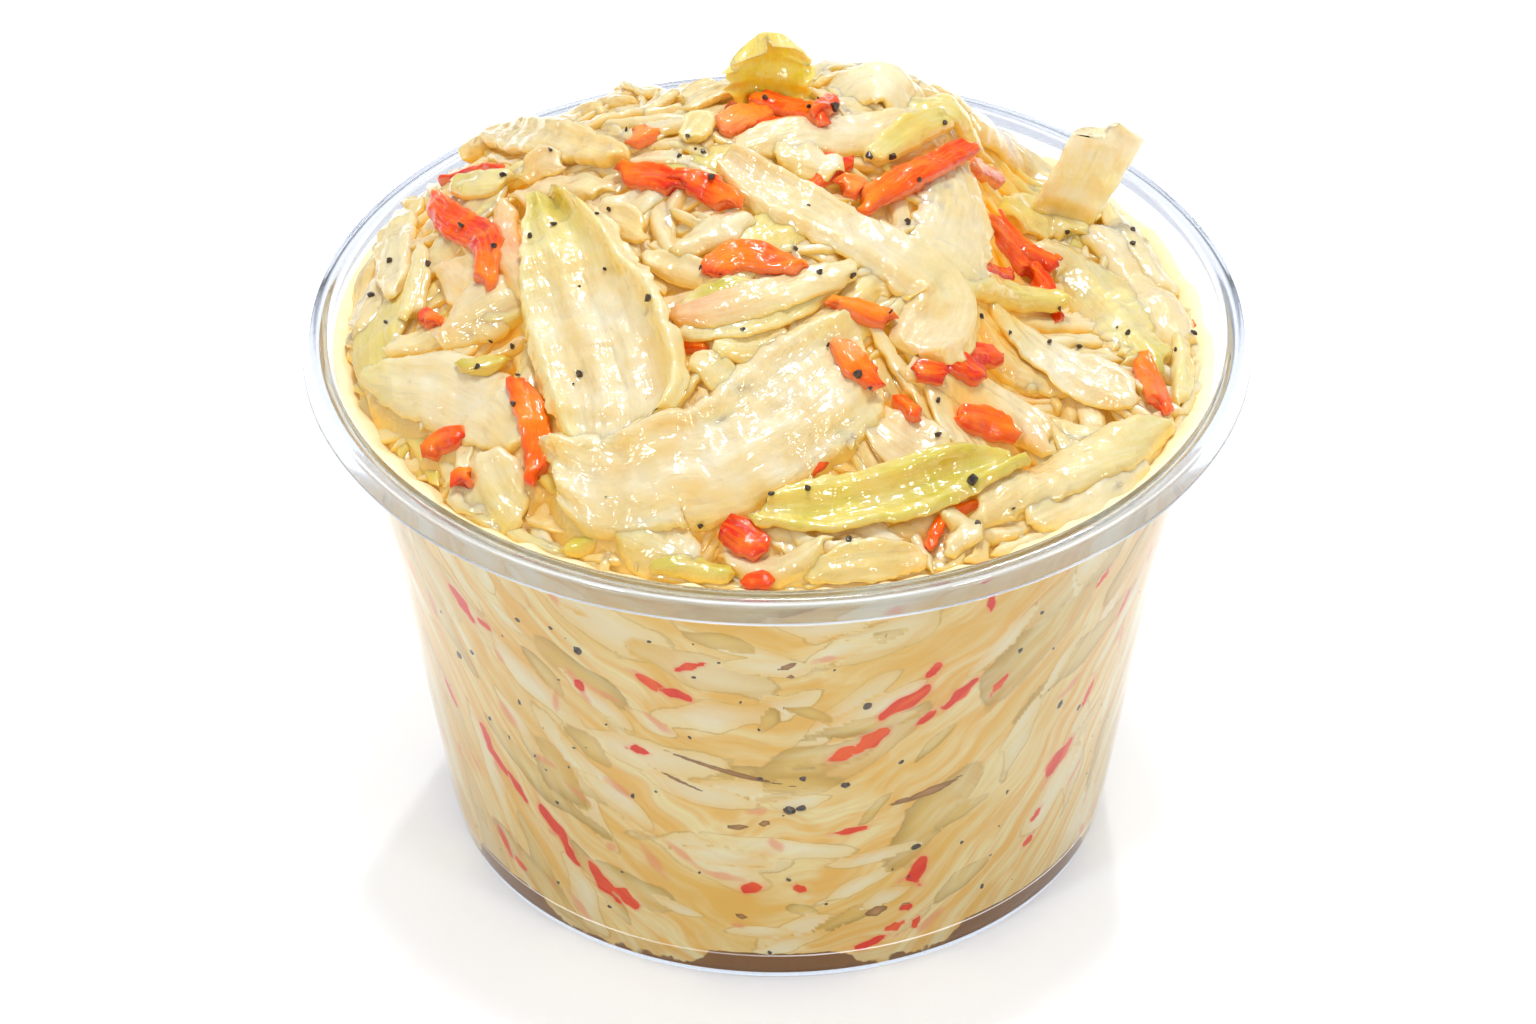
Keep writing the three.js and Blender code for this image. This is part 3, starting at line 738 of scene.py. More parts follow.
topPieces = {
    "paleStick": dict(stripCut, seen=[(955, 291), (1013, 293), (1070, 297)], widths=[3, 3.8, 3], tint=("pale", "leaf"),
                      thick=1.58, lift=[0, 0.3, 0.8], stiff=14),
    "greenEdge": dict(leafCut, seen=[(757, 512), (830, 509), (900, 494), (960, 472), (1022, 462)],
                      widths=[4.5, 6.8, 6.8, 6.2, 3], tint=("leaf", "leaf", "leaf", "green", "leaf"), thick=1.32,
                      edgeTint="green", edgeSide=1, stiff=18, curl=0.3, relief=0.12, ragged=0.2,
                      ridges=((-0.6, 0.7, 0.16), (0.1, -0.4, 0.22), (0.7, 0.5, 0.16))),
    "bigLeaf": dict(leafCut, seen=[(545, 196), (570, 250), (600, 333), (622, 397), (628, 440)],
                    widths=[4.5, 10, 14.5, 15.5, 14], tint=("green", "pale", "milk", "milk", "milk"), thick=1.3,
                    ragged=0.42, relief=0.36, stiff=16, columns=31, edgeTint="pale", blunt=0.22, curl=0.1,
                    ridges=((-0.8, 1.3, 0.12), (-0.35, -0.4, 0.2), (0.25, 0.5, 0.16), (0.86, 0.7, 0.12)), spacing=0.45),
    "band": dict(leafCut, seen=[(550, 464), (573, 478), (617, 487), (664, 478), (711, 464), (750, 440), (790, 412),
                                (830, 380), (864, 345)],
                 widths=[7, 11.5, 12.5, 13, 13.5, 14.5, 15.5, 15.5, 12], tint=("cream", "milk", "milk", "milk", "milk", "pale"),
                 thick=1.6, ragged=0.45, relief=0.36, stiff=16, columns=25, spacing=0.45,
                 ridges=((-0.78, 1.1, 0.14), (-0.2, -0.5, 0.3), (0.3, 0.5, 0.16), (0.8, 0.6, 0.12))),
    "backLeaf": dict(leafCut, seen=[(948, 150), (960, 200), (950, 250), (930, 296)], widths=[6, 9.5, 9.5, 7],
                     tint=("cream", "milk", "pale"), ragged=0.53, columns=13, stiff=14),
    "longStrip": dict(stripCut, seen=[(731, 150), (790, 134), (860, 133), (925, 116)], widths=[4, 5.4, 5.4, 4],
                      tint=("cream", "milk", "cream"), thick=1.52),
    "scallop": dict(leafCut, seen=[(772, 152), (806, 161), (840, 170)], widths=[3.4, 5, 4], tint=("cream", "milk"), ragged=0.6),
    "creamStrip": dict(leafCut, seen=[(722, 156), (770, 188), (833, 222), (897, 256), (944, 296), (918, 352)],
                       widths=[5.5, 7, 7, 7.5, 9, 9.5], tint=("peach", "cream", "milk", "cream", "peach"), thick=1.3,
                       ragged=0.42, stiff=14, columns=19, ridges=((-0.7, 0.7, 0.13), (0.0, -0.35, 0.2), (0.62, 0.6, 0.14))),
    "leafLip": dict(stripCut, seen=[(736, 88), (764, 95), (797, 104)], widths=[2.4, 3, 1.6], tint=("olive", "green", "olive"),
                    edgeTint="leaf", curl=0.4),
    "tube": dict(stripCut, seen=[(868, 160), (900, 138), (948, 120)], widths=[3.2, 4, 3.2], tint=("pale", "leaf", "leaf"),
                 thick=1.85, stiff=10),
}
topCarrots = {
    "crest": dict(carrotCut, seen=[(754, 96), (790, 108), (828, 120)], widths=[3, 3.8, 3.4], tint=("carrot",)),
    "crestBit": dict(carrotCut, seen=[(818, 113), (834, 98)], widths=[2.6, 2.6], tint=("carrot",)),
    "pairA": dict(carrotCut, seen=[(620, 172), (650, 177), (682, 188)], widths=[3, 4.2, 3.4],
                  tint=("carrotPale", "carrot", "carrotDeep")),
    "pairB": dict(carrotCut, seen=[(676, 179), (706, 187), (734, 205)], widths=[3, 4, 3.4],
                  tint=("carrot", "carrot", "carrotPale")),
    "barB": dict(carrotCut, seen=[(868, 193), (905, 173), (928, 165)], widths=[2.6, 3.2, 2.6], tint=("carrotPale", "carrot")),
    "barA": dict(carrotCut, seen=[(861, 205), (899, 182), (935, 164), (971, 144)], widths=[3.2, 3.8, 3.4, 3],
                 tint=("carrotPale", "carrot", "carrot"), lift=[0, 0, 0.4, 1.2]),
    "chip": dict(carrotCut, seen=[(830, 303), (862, 311), (893, 318)], widths=[2.2, 3.6, 2.6],
                 tint=("carrotPale", "carrotPale")),
    "smear": dict(carrotCut, seen=[(838, 340), (856, 364), (880, 382)], widths=[2.6, 4, 3], tint=("blush", "carrotPale", "carrot")),
    "chunk": dict(carrotCut, seen=[(957, 409), (985, 413), (1018, 426)], widths=[3.2, 4.8, 3], tint=("carrot", "carrotPale")),
    "edge": dict(carrotCut, seen=[(1139, 357), (1150, 380), (1162, 408)], widths=[2.6, 3.8, 3], tint=("carrotPale", "carrot")),
    "backTip": dict(carrotCut, seen=[(630, 140), (656, 130)], widths=[3, 3], tint=("blush", "carrotPale")),
}
# Pieces that stand up: x, y and the height over the heap, in millimetres.
standing = {
    "curledLeaf": dict(leafCut, route=[(-1.3, 13, -2.5), (-1.3, 14.8, 1.5), (-1.2, 15.6, 4.6), (-1, 14.6, 7.2)],
                       widths=[6, 9.4, 10, 9.4], side=(1, 0.2, 0), curl=0.75, tint=("sun", "sun", "sun", "leaf"),
                       thick=1.1, ragged=0.8, spacing=0.4, columns=15, sink=0, milky=0),
    "creamTop": dict(leafCut, route=[(5.0, 13.5, -1.0), (8, 14.8, 1.6), (11.0, 15.2, 3.4), (13.4, 14.8, 2.2), (16, 14, -0.8)],
                     widths=[5, 7, 7.5, 7, 5], tint=("cream", "milk", "peach"), thick=1.45, ragged=0.43, spacing=0.5),
    "paleEnd": dict(stripCut, route=[(9.5, 13, 0.6), (14.5, 14, 2.4), (18, 14, 4.4), (21, 14, 5.2)],
                    widths=[3, 3.6, 3.8, 3], tint=("pale", "leaf"), thick=1.45, ragged=0.43, spacing=0.5),
    "tab": dict(stripCut, route=[(26.0, 15.6, -1.2), (28.2, 16.6, 2.0), (30.9, 17.6, 7.0), (34.6, 19.0, 15.0)],
                widths=[6.4, 7.0, 7.4, 7.6], side=(0.6, 0, -0.8), tint=("butter", "cream", "pale", "milk"), thick=1.7, taper=0.0,
                ragged=0.12, blunt=0.1, spacing=0.5, relief=0.25, curl=0.35),
}

print("heap: laying leaves and carrots")
layScatter()
for kind, layer in (("leaves", lowPieces), ("carrots", lowCarrots), ("leaves", topPieces), ("carrots", topCarrots)):
    for name, spec in layer.items():
        layPixels(kind, spec["seen"], spec, sum(map(ord, name)))
for name, spec in standing.items():
    standPiece("leaves", spec["route"], spec, sum(map(ord, name)))
print("pieces", {kind: len(pieces) for kind, pieces in allPieces.items()})


def makeObject(name, verts, quads, tris, values=None, material=None, smooth=True):
    mesh = bpy.data.meshes.new(name)
    quads, tris = np.asarray(quads, int).reshape(-1, 4), np.asarray(tris, int).reshape(-1, 3)
    mesh.vertices.add(len(verts))
    mesh.vertices.foreach_set("co", (np.asarray(verts) * mm).astype(np.float32).ravel())
    corners = np.concatenate([quads.ravel(), tris.ravel()])
    mesh.loops.add(len(corners))
    mesh.loops.foreach_set("vertex_index", corners.astype(np.int32))
    mesh.polygons.add(len(quads) + len(tris))
    starts = np.concatenate([np.arange(len(quads)) * 4, len(quads) * 4 + np.arange(len(tris)) * 3])
    mesh.polygons.foreach_set("loop_start", starts.astype(np.int32))
    mesh.update(calc_edges=True)
    mesh.validate()
    mesh.polygons.foreach_set("use_smooth", np.full(len(mesh.polygons), smooth))
    for key, data in (values or {}).items():
        data = np.asarray(data, np.float32)
        if data.ndim == 1:
            mesh.attributes.new(key, "FLOAT", "POINT").data.foreach_set("value", data)
        elif key == "tint":
            full = np.column_stack([data, np.ones(len(data), np.float32)])
            mesh.attributes.new(key, "FLOAT_COLOR", "POINT").data.foreach_set("color", full.ravel())
        else:
            mesh.attributes.new(key, "FLOAT_VECTOR", "POINT").data.foreach_set("vector", data.ravel())
    thing = bpy.data.objects.new(name, mesh)
    bpy.context.scene.collection.objects.link(thing)
    if material:
        mesh.materials.append(material)
    return thing


def joined(shapes):
    verts, quads, tris, colour, lay, edge, start = [], [], [], [], [], [], 0
    for k, shape in enumerate(shapes):
        verts.append(shape["verts"])
        quads.append(shape["quads"] + start)
        tris.append(shape["tris"] + start)
        colour.append(shape["colour"])
        lay.append(np.stack([shape["along"] + 37.7 * k, shape["across"], np.zeros(len(shape["along"]))], 1))
        edge.append(shape["edge"][:, None])
        start += len(shape["verts"])
    return tuple(np.vstack(part) for part in (verts, quads, tris, colour, lay, edge))


finalSoft = softened(swollen(heights, 3), 4)  # the general surface, without its gaps


# How far a point lies under the general surface round it, from 0 to 1. The material paints shade and a warm glow into
# these deep places with it.
def buriedDepth(verts):
    byWall = ease(36, 43, np.hypot(verts[:, 0], verts[:, 1]))
    return np.clip((sample(finalSoft, verts[:, 0], verts[:, 1]) - verts[:, 2] - 2.3) / 4.2, 0, 1) * (1 - 0.7 * byWall)


# How steep the surface is at each point, from 0 to 1, kept for the material, which paints shade on steep sides with it.
# How far a point stands above the general surface is kept as well: the material paints a glow there, for the light that
# passes what stands up.
def keepSteepness(thing):
    normals = np.empty(len(thing.data.vertices) * 3, np.float32)
    thing.data.vertices.foreach_get("normal", normals)
    spots = np.empty(len(normals), np.float32)
    thing.data.vertices.foreach_get("co", spots)
    spots = spots.reshape(-1, 3) / mm
    proud = np.clip((spots[:, 2] - sample(finalSoft, spots[:, 0], spots[:, 1])) / 1.6, 0, 1)
    steep = np.clip(1 - normals.reshape(-1, 3)[:, 2], 0, 1) * (1 - 0.85 * proud)
    thing.data.attributes.new("steep", "FLOAT", "POINT").data.foreach_set("value", steep.astype(np.float32))
    thing.data.attributes.new("proud", "FLOAT", "POINT").data.foreach_set("value", proud.astype(np.float32))


def neighbourMean(verts, edges, rounds, amount=0.6):
    count = np.bincount(edges.ravel(), minlength=len(verts))[:, None]
    for _ in range(rounds):
        total = np.zeros_like(verts)
        for axis in range(3):
            total[:, axis] = np.bincount(edges[:, 0], verts[edges[:, 1], axis], len(verts)) \
                + np.bincount(edges[:, 1], verts[edges[:, 0], axis], len(verts))
        verts = verts + amount * (total / np.maximum(count, 1) - verts)
    return verts


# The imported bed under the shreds: a lumpy top over a flat underside, well inside the cup's wall.
# Dressing is pooled in the narrow gaps between what lies on it.
bed = {"rings": 96, "turns": 300, "edge": 43.6, "base": 47.0, "wallGap": 0.7}
pool = {"gap": 5, "least": 1.3, "most": 4.2, "patch": 9.0, "underLoose": 1.5}


def poolTop():
    closed = softened(-swollen(-swollen(heights, pool["gap"]), pool["gap"]), 2)
    spots = np.stack([fieldX.ravel(), fieldY.ravel()], 1)
    patch = np.clip(0.5 + 0.6 * ripples(spots, pool["patch"], 44), 0, 1).reshape(heights.shape)
    depth = pool["least"] + (pool["most"] - pool["least"]) * patch
    depth = depth * (1 - 0.75 * ease(37, 42, np.hypot(fieldX, fieldY)))
    level = closed - depth
    return np.where(isLoose, np.minimum(level, heights - pool["underLoose"]), level)


def bedShape():
    turns = np.arange(bed["turns"]) / bed["turns"] * 2 * math.pi
    shares = np.linspace(0, 1, bed["rings"] + 1)[1:]
    rings = []
    level = poolTop()
    for share in shares:
        x, y = share * bed["edge"] * np.cos(turns), share * bed["edge"] * np.sin(turns)
        rings.append(np.stack([x, y, np.maximum(bedTop(x, y), sample(level, x, y))], 1))
    for z in (52.0, 49.5, bed["base"]):
        r = innerRadius(z) - bed["wallGap"]
        rings.append(np.stack([r * np.cos(turns), r * np.sin(turns), np.full(len(turns), z)], 1))
    verts = np.vstack([[[0, 0, float(bedTop(np.array([0.0]), np.array([0.0]))[0])]]] + rings + [[[0, 0, bed["base"]]]])
    n = bed["turns"]
    i, j = np.meshgrid(np.arange(len(rings) - 1), np.arange(n), indexing="ij")
    a, b = 1 + i * n + j, 1 + i * n + (j + 1) % n
    quads = np.stack([a, a + n, b + n, b], -1).reshape(-1, 4)
    k = np.arange(n)
    last = 1 + (len(rings) - 1) * n
    tris = np.concatenate([np.stack([np.zeros(n, int), 1 + k, 1 + (k + 1) % n], 1),
                           np.stack([np.full(n, len(verts) - 1), last + (k + 1) % n, last + k], 1)])
    spots = verts[:, :2]
    mix = np.clip(ripples(spots, 9, 61)[:, None] * 0.5 + 0.5, 0, 1)
    return {
        "verts": verts,
        "quads": quads,
        "tris": tris,
        "colour": tints["cream"] * mix + tints["butter"] * (1 - mix),
        "along": spots[:, 0],
        "across": spots[:, 1],
        "edge": np.zeros(len(spots)),
    }


# Bed and packed shreds fused into one dressed surface.
fused = {"voxel": 0.48, "rounds": 2, "amount": 0.5}


def fuseHeap(material):
    verts, quads, tris, colour, lay, _ = joined([bedShape()] + allPieces["shreds"])
    rough = makeObject("rough", verts / mm * mm, quads, tris)
    remesh = rough.modifiers.new("fuse", "REMESH")
    remesh.mode = "VOXEL"
    remesh.voxel_size = fused["voxel"] * mm
    remesh.use_smooth_shade = True
    evaluated = rough.evaluated_get(bpy.context.evaluated_depsgraph_get())
    mesh = bpy.data.meshes.new_from_object(evaluated)
    points = np.empty(len(mesh.vertices) * 3, np.float32)
    mesh.vertices.foreach_get("co", points)
    points = points.reshape(-1, 3).astype(float) / mm
    edges = np.empty(len(mesh.edges) * 2, np.int32)
    mesh.edges.foreach_get("vertices", edges)
    points = neighbourMean(points, edges.reshape(-1, 2), fused["rounds"], fused["amount"])
    faceCorners = np.empty(len(mesh.loops), np.int32)
    mesh.loops.foreach_get("vertex_index", faceCorners)
    sizes = np.empty(len(mesh.polygons), np.int32)
    mesh.polygons.foreach_get("loop_total", sizes)
    starts = np.empty(len(mesh.polygons), np.int32)
    mesh.polygons.foreach_get("loop_start", starts)
    fourSided = sizes == 4
    newQuads = faceCorners[starts[fourSided][:, None] + np.arange(4)]
    newTris = faceCorners[starts[~fourSided][:, None] + np.arange(3)] if (~fourSided).any() else np.zeros((0, 3), int)
    tree = kdtree.KDTree(len(verts))
    for k, spot in enumerate(verts):
        tree.insert(spot, k)
    tree.balance()
    nearest = np.array([tree.find(spot)[1] for spot in points])
    tint = neighbourMean(colour[nearest], edges.reshape(-1, 2), 2, 0.5)
    thing = makeObject("slawHeap", points, newQuads, newTris,
                       {"tint": tint, "lay": lay[nearest], "buried": buriedDepth(points)}, material)
    keepSteepness(thing)
    bpy.data.objects.remove(rough)
    print("fused heap", len(points), "points", len(newQuads) * 2 + len(newTris), "triangles")
    return thing


# The slaw pressed against the wall. Patches of cabbage, carrot and brown pockets are values on its points,
# highest in the middle of a patch and 0 at its edge, and the material draws them. A brown sheet along the moat is
# painted shade.
pressed = {
    "columns": 640,
    "rowStep": 0.42,
    "intoWall": 0.1,
    "seed": 12,
    "cabbage": 260,
    "carrots": 120,
    "pockets": 26,
    "bowl": 80.0,
    "nominal": 40.0,
    "moatFloor": 0.75,
    "moatFull": 1.35,
    "moatEmpty": 4.4,
    # where the moat is empty, in degrees: a brown sheet is painted there, for the shade in the empty moat
    "empty": ((-64, -44), (-13, 12), (32, 66), (104, 150), (-168, -122), (-100, -74)),
}
# seen through the wall: middle point in pixels, length and width in millimetres, slant in degrees
pressedCarrots = [
    (464, 600, 4.5, 1.8, -50), (487, 622, 2.0, 1.2, -40), (582, 683, 2.0, 1.4, 70), (652, 682, 4.2, 1.5, -35),
    (676, 692, 4.0, 1.5, -25), (490, 735, 4.0, 1.4, -55), (500, 757, 5.0, 1.3, -50), (520, 785, 4.0, 1.3, -52),
    (556, 822, 6.0, 2.0, -58), (572, 850, 4.0, 1.4, -50), (604, 878, 5.5, 2.0, -52), (628, 896, 3.6, 2.2, -15),
    (752, 887, 3.0, 1.8, 10), (800, 886, 2.0, 1.2, -30), (846, 752, 4.5, 2.0, 18), (872, 738, 4.5, 2.2, 40),
    (905, 700, 6.5, 2.2, 42), (932, 668, 3.0, 1.3, 50), (925, 715, 3.0, 1.2, 40), (960, 692, 4.6, 1.7, 45),
    (998, 682, 3.0, 1.1, 55), (1055, 757, 5.0, 2.6, 50), (1033, 812, 2.4, 1.1, 30), (1025, 838, 2.0, 1.2, 40),
    (917, 868, 4.2, 2.4, 98), (893, 924, 2.4, 1.3, 20), (915, 920, 2.0, 1.2, 60), (870, 940, 5.0, 1.2, 8),
    (985, 575, 1.6, 1.2, 80), (990, 600, 3.0, 1.0, 85), (1100, 575, 2.6, 1.0, 60), (850, 828, 4.5, 1.0, 5),
    (640, 748, 2.4, 1.2, 0), (508, 838, 4.0, 1.3, -60), (524, 862, 2.4, 1.2, -40), (1120, 600, 4, 1.0, 62),
    (1085, 690, 4.0, 1.0, 62), (455, 690, 4.5, 1.0, -62), (905, 905, 1.6, 1.2, 30), (690, 665, 3.4, 1.1, 30),
]
pressedLeaves = [
    (560, 770, 9.0, 5.5, -50, 1), (655, 722, 6.0, 2.2, -30, 0), (545, 670, 7.0, 2.4, -52, 1), (600, 700, 10.0, 2.6, -45, 0),
    (768, 718, 4.0, 1.8, 70, 1), (810, 712, 5.0, 1.6, -20, 1), (700, 790, 14.0, 3.4, -18, 0), (620, 800, 10.0, 3.4, -38, 0),
    (935, 740, 6.0, 1.6, 45, 1), (1020, 720, 8.0, 2.4, 48, 0), (870, 855, 11.0, 2.0, 3, 0), (720, 855, 12.0, 2.8, -8, 0),
    (960, 878, 8.0, 3.0, 28, 1), (885, 895, 6.0, 2.4, 22, 0), (760, 930, 9.0, 1.8, 4, 0), (1000, 640, 10.0, 2.4, 50, 0),
    (840, 650, 8.0, 2.6, 20, 0), (720, 640, 7.0, 2.6, -20, 1), (520, 720, 9.0, 2.0, -52, 0), (1060, 660, 9.0, 1.8, 55, 0),
    (960, 810, 7.0, 2.0, 22, 1), (800, 800, 7.0, 2.2, 6, 0), (590, 745, 6.0, 3.0, -30, 1), (470, 640, 7.0, 1.6, -60, 0),
    (1085, 790, 6.0, 1.8, 52, 0), (540, 900, 7.0, 1.8, -45, 0), (680, 905, 6.0, 1.6, -16, 0), (820, 760, 6.0, 1.3, 10, 1),
]
pressedPockets = [
    (738, 825, 2.6, 0.9, -5), (765, 822, 1.6, 0.9, 20), (787, 664, 2.2, 0.9, 30), (790, 675, 1.2, 0.6, 0),
    (930, 788, 7.5, 1.2, 16), (875, 908, 2.8, 1.5, 12), (904, 904, 1.6, 1.1, 30), (730, 770, 15.0, 0.7, -16),
    (680, 778, 7.0, 0.5, -24), (742, 914, 1.6, 0.8, 0), (900, 798, 3.0, 0.7, 14),
]


def pixelOnWall(px, py):
    z = np.arange(58, 2, -0.1)
    x, y = pixelAtHeight(px, py, z)
    gap = np.where(y < 0, np.hypot(x, y) - innerRadius(z), 99)
    k = np.argmin(np.abs(gap))
    return math.atan2(x[k], -y[k]), z[k]


def moatLevel(front):
    degrees = (np.degrees(front) + 180) % 360 - 180
    share = np.zeros(np.shape(front))
    for first, last in pressed["empty"]:
        share = np.maximum(share, ease(first - 3, first + 3, degrees) * (1 - ease(last - 3, last + 3, degrees)))
    return pressed["moatFull"] + (pressed["moatEmpty"] - pressed["moatFull"]) * share


def pressedGrid():
    columns = pressed["columns"]
    front = np.arange(columns) / columns * 2 * math.pi  # 0 at the front, growing to the right
    turn = front - math.pi / 2
    ring = np.stack([np.cos(turn), np.sin(turn)], 1)
    edgeSpots = ring * 43.4
    level = heapTop(*edgeSpots.T) + 0.7 * settled(*edgeSpots.T)
    top = np.minimum(level - 0.3 + 0.7 * ripples(edgeSpots, 13, 77), 57.6)
    rows = []

    def row(r, z):
        rows.append(np.stack([r * ring[:, 0], r * ring[:, 1], z * np.ones(columns)], 1))

    for share, drop in ((0.35, 9.0), (0.8, 7.0), (0.9, 3.6)):
        row(share * innerRadius(top), top - drop)
    wavy = 0.35 * ripples(edgeSpots, 5, 78)
    for inset, drop in ((3.0, 1.4), (2.2, 0.75), (1.5, 0.3), (0.9, 0.05), (0.45, 0.1), (0.15, 0.35)):
        row(innerRadius(top) - inset, top - drop + wavy * min(1, inset))
    wallRows = int((57 - cup["heelHeight"]) / pressed["rowStep"])
    for t in np.linspace(0, 1, wallRows):
        z = (top - 0.7) * (1 - t) + cup["heelHeight"] * t
        row(innerRadius(z) + pressed["intoWall"], z)
    level = pressed["moatFloor"]
    foot = cup["footRadius"] - cup["sheet"] - 0.05
    for t in (0.35, 0.7, 1.0):
        z = cup["heelHeight"] * (1 - t) + level * t
        row(innerRadius(cup["heelHeight"]) * (1 - t) + foot * t - 0.05 * (1 - t), z)
    for t in (0.1, 0.35, 0.65, 0.9):
        row(foot * (1 - t) + (stepRadius(level) + 0.1) * t, level)
    for t in (0.3, 0.7, 1.0):
        z = level * (1 - t) + (cup["floorHeight"] + cup["sheet"] - 0.08) * t
        row(stepRadius(z) + 0.1 * (1 - t), z)
    row(24, cup["floorHeight"] + cup["sheet"] - 0.08)
    row(12, cup["floorHeight"] + cup["sheet"] - 0.08)
    return front, np.array(rows)


def addPatch(values, s, z, spot, length, width, slant, ragged, seed, looks=None, tone=0.0):
    reach = length * 0.7 + 1.0
    ds = (s - spot[0] + math.pi * pressed["nominal"]) % (2 * math.pi * pressed["nominal"]) - math.pi * pressed["nominal"]
    near = (np.abs(ds) < reach) & (np.abs(z - spot[1]) < reach)
    if not near.any():
        return
    ds, dz = ds[near], z[near] - spot[1]
    cosine, sine = math.cos(math.radians(slant)), math.sin(math.radians(slant))
    u, v = (ds * cosine + dz * sine) / (length / 2), (dz * cosine - ds * sine) / (width / 2)
    v = v + 0.25 * np.sin(u * 2.2 + seed)
    wobble = 1 + ragged * (np.sin(3.1 * u + seed) * np.sin(2.3 * v + 2 * seed) + 0.6 * np.sin(7.3 * u + 1.7 * seed))
    inside = (1 - (np.abs(u) ** 1.4 + np.abs(v) ** 1.7) * wobble) * min(1.0, width)
    values[near] = np.where(inside > 0, inside, np.maximum(values[near], inside))
    if looks is not None:
        covered = np.flatnonzero(near)[inside > -0.1]
        looks["tone"][covered] = tone
        looks["fade"][covered] = np.clip(0.62 + 0.5 * math.cos(3 * seed) * v + 0.3 * math.sin(seed) * u, 0.08, 1)[inside > -0.1]


def pressSlaw(material):
    front, rows = pressedGrid()
    count, columns = rows.shape[:2]
    verts = rows.reshape(-1, 3)
    caps = np.array([[0, 0, rows[0, 0, 2] - 2], [0, 0, cup["floorHeight"] + cup["sheet"] - 0.08]])
    i, j = np.meshgrid(np.arange(count - 1), np.arange(columns), indexing="ij")
    a, b = i * columns + j, i * columns + (j + 1) % columns
    quads = np.stack([a, a + columns, b + columns, b], -1).reshape(-1, 4)
    k = np.arange(columns)
    tris = np.concatenate([
        np.stack([np.full(columns, count * columns), k, (k + 1) % columns], 1),
        np.stack([np.full(columns, count * columns + 1), (count - 1) * columns + (k + 1) % columns,
                  (count - 1) * columns + k], 1),
    ])
    verts = np.vstack([verts, caps])
    turn = np.append(np.tile(front, count), [0, 0])
    s, z = turn * pressed["nominal"], verts[:, 2]
    fields = {name: np.full(len(verts), -1.0) for name in ("leaf", "carrot", "faint", "pocket")}
    fields["tone"], fields["fade"] = np.zeros(len(verts)), np.ones(len(verts))
    draw = np.random.default_rng(pressed["seed"])

    def slope(angle):  # how the streaks lean, in degrees: they hang like a bowl from side to side
        return math.degrees(math.atan(pressed["bowl"] / pressed["nominal"] * math.sin(angle)))

    def isInFront(angle):
        return math.cos(angle) > 0.2

    for n in range(pressed["cabbage"]):
        angle, height = draw.uniform(-math.pi, math.pi), draw.uniform(4, 57)
        length = draw.uniform(4, 20)
        addPatch(fields["leaf"], s, z, (angle * pressed["nominal"], height), length, length * draw.uniform(0.16, 0.4),
                 slope(angle) + draw.normal(0, 14), 0.22, n, fields, draw.normal(0.15, 0.5))
    for px, py, length, width, slant, glassy in pressedLeaves:
        angle, height = pixelOnWall(px, py)
        addPatch(fields["leaf"], s, z, (angle * pressed["nominal"], height), length, width, slant, 0.08, px,
                 fields, -0.6 if glassy else 0.5)
    for px, py, length, width, slant in pressedCarrots:
        angle, height = pixelOnWall(px, py)
        addPatch(fields["carrot"], s, z, (angle * pressed["nominal"], height), length, width, slant, 0.25, px)
    for px, py, length, width, slant in pressedPockets:
        angle, height = pixelOnWall(px, py)
        addPatch(fields["pocket"], s, z, (angle * pressed["nominal"], height), length, width, slant, 0.2, px)
    for n in range(pressed["carrots"]):
        angle, height = draw.uniform(-math.pi, math.pi), draw.uniform(4, 56)
        name = "faint" if n % 3 == 0 or isInFront(angle) else "carrot"
        addPatch(fields[name], s, z, (angle * pressed["nominal"], height), draw.uniform(1.6, 6),
                 draw.uniform(0.8, 2.0), slope(angle) + draw.normal(0, 18), 0.25, n)
    for n in range(pressed["pockets"]):
        angle, height = draw.uniform(-math.pi, math.pi), draw.uniform(5, 52)
        if not isInFront(angle):
            addPatch(fields["pocket"], s, z, (angle * pressed["nominal"], height), draw.uniform(1, 5),
                     draw.uniform(0.5, 1.2), slope(angle) + draw.normal(0, 12), 0.2, n)
    across = z - pressed["bowl"] * (1 - np.cos(turn))
    flow = np.stack([0.1 * pressed["nominal"] * np.sin(turn), 0.1 * pressed["nominal"] * np.cos(turn), across], 1)
    fields["flow"] = flow
    ragged = 0.9 * ripples(np.stack([s, z], 1), 2.4, 91, 3)
    crest = np.repeat(np.interp(np.arange(count), [8, 11], [1, 0]), columns)
    fields["crest"] = np.append(crest, [0, 0])
    # the painted shade in the moat: how far a point lies under the level up to which the moat's bottom is drawn brown
    fields["moat"] = np.where(z < cup["heelHeight"] + 0.4, moatLevel(turn) + ragged - z, -1)
    print("pressed side", len(quads) * 2 + len(tris), "triangles")
    return makeObject("slawPressed", verts, quads, tris, fields, material)


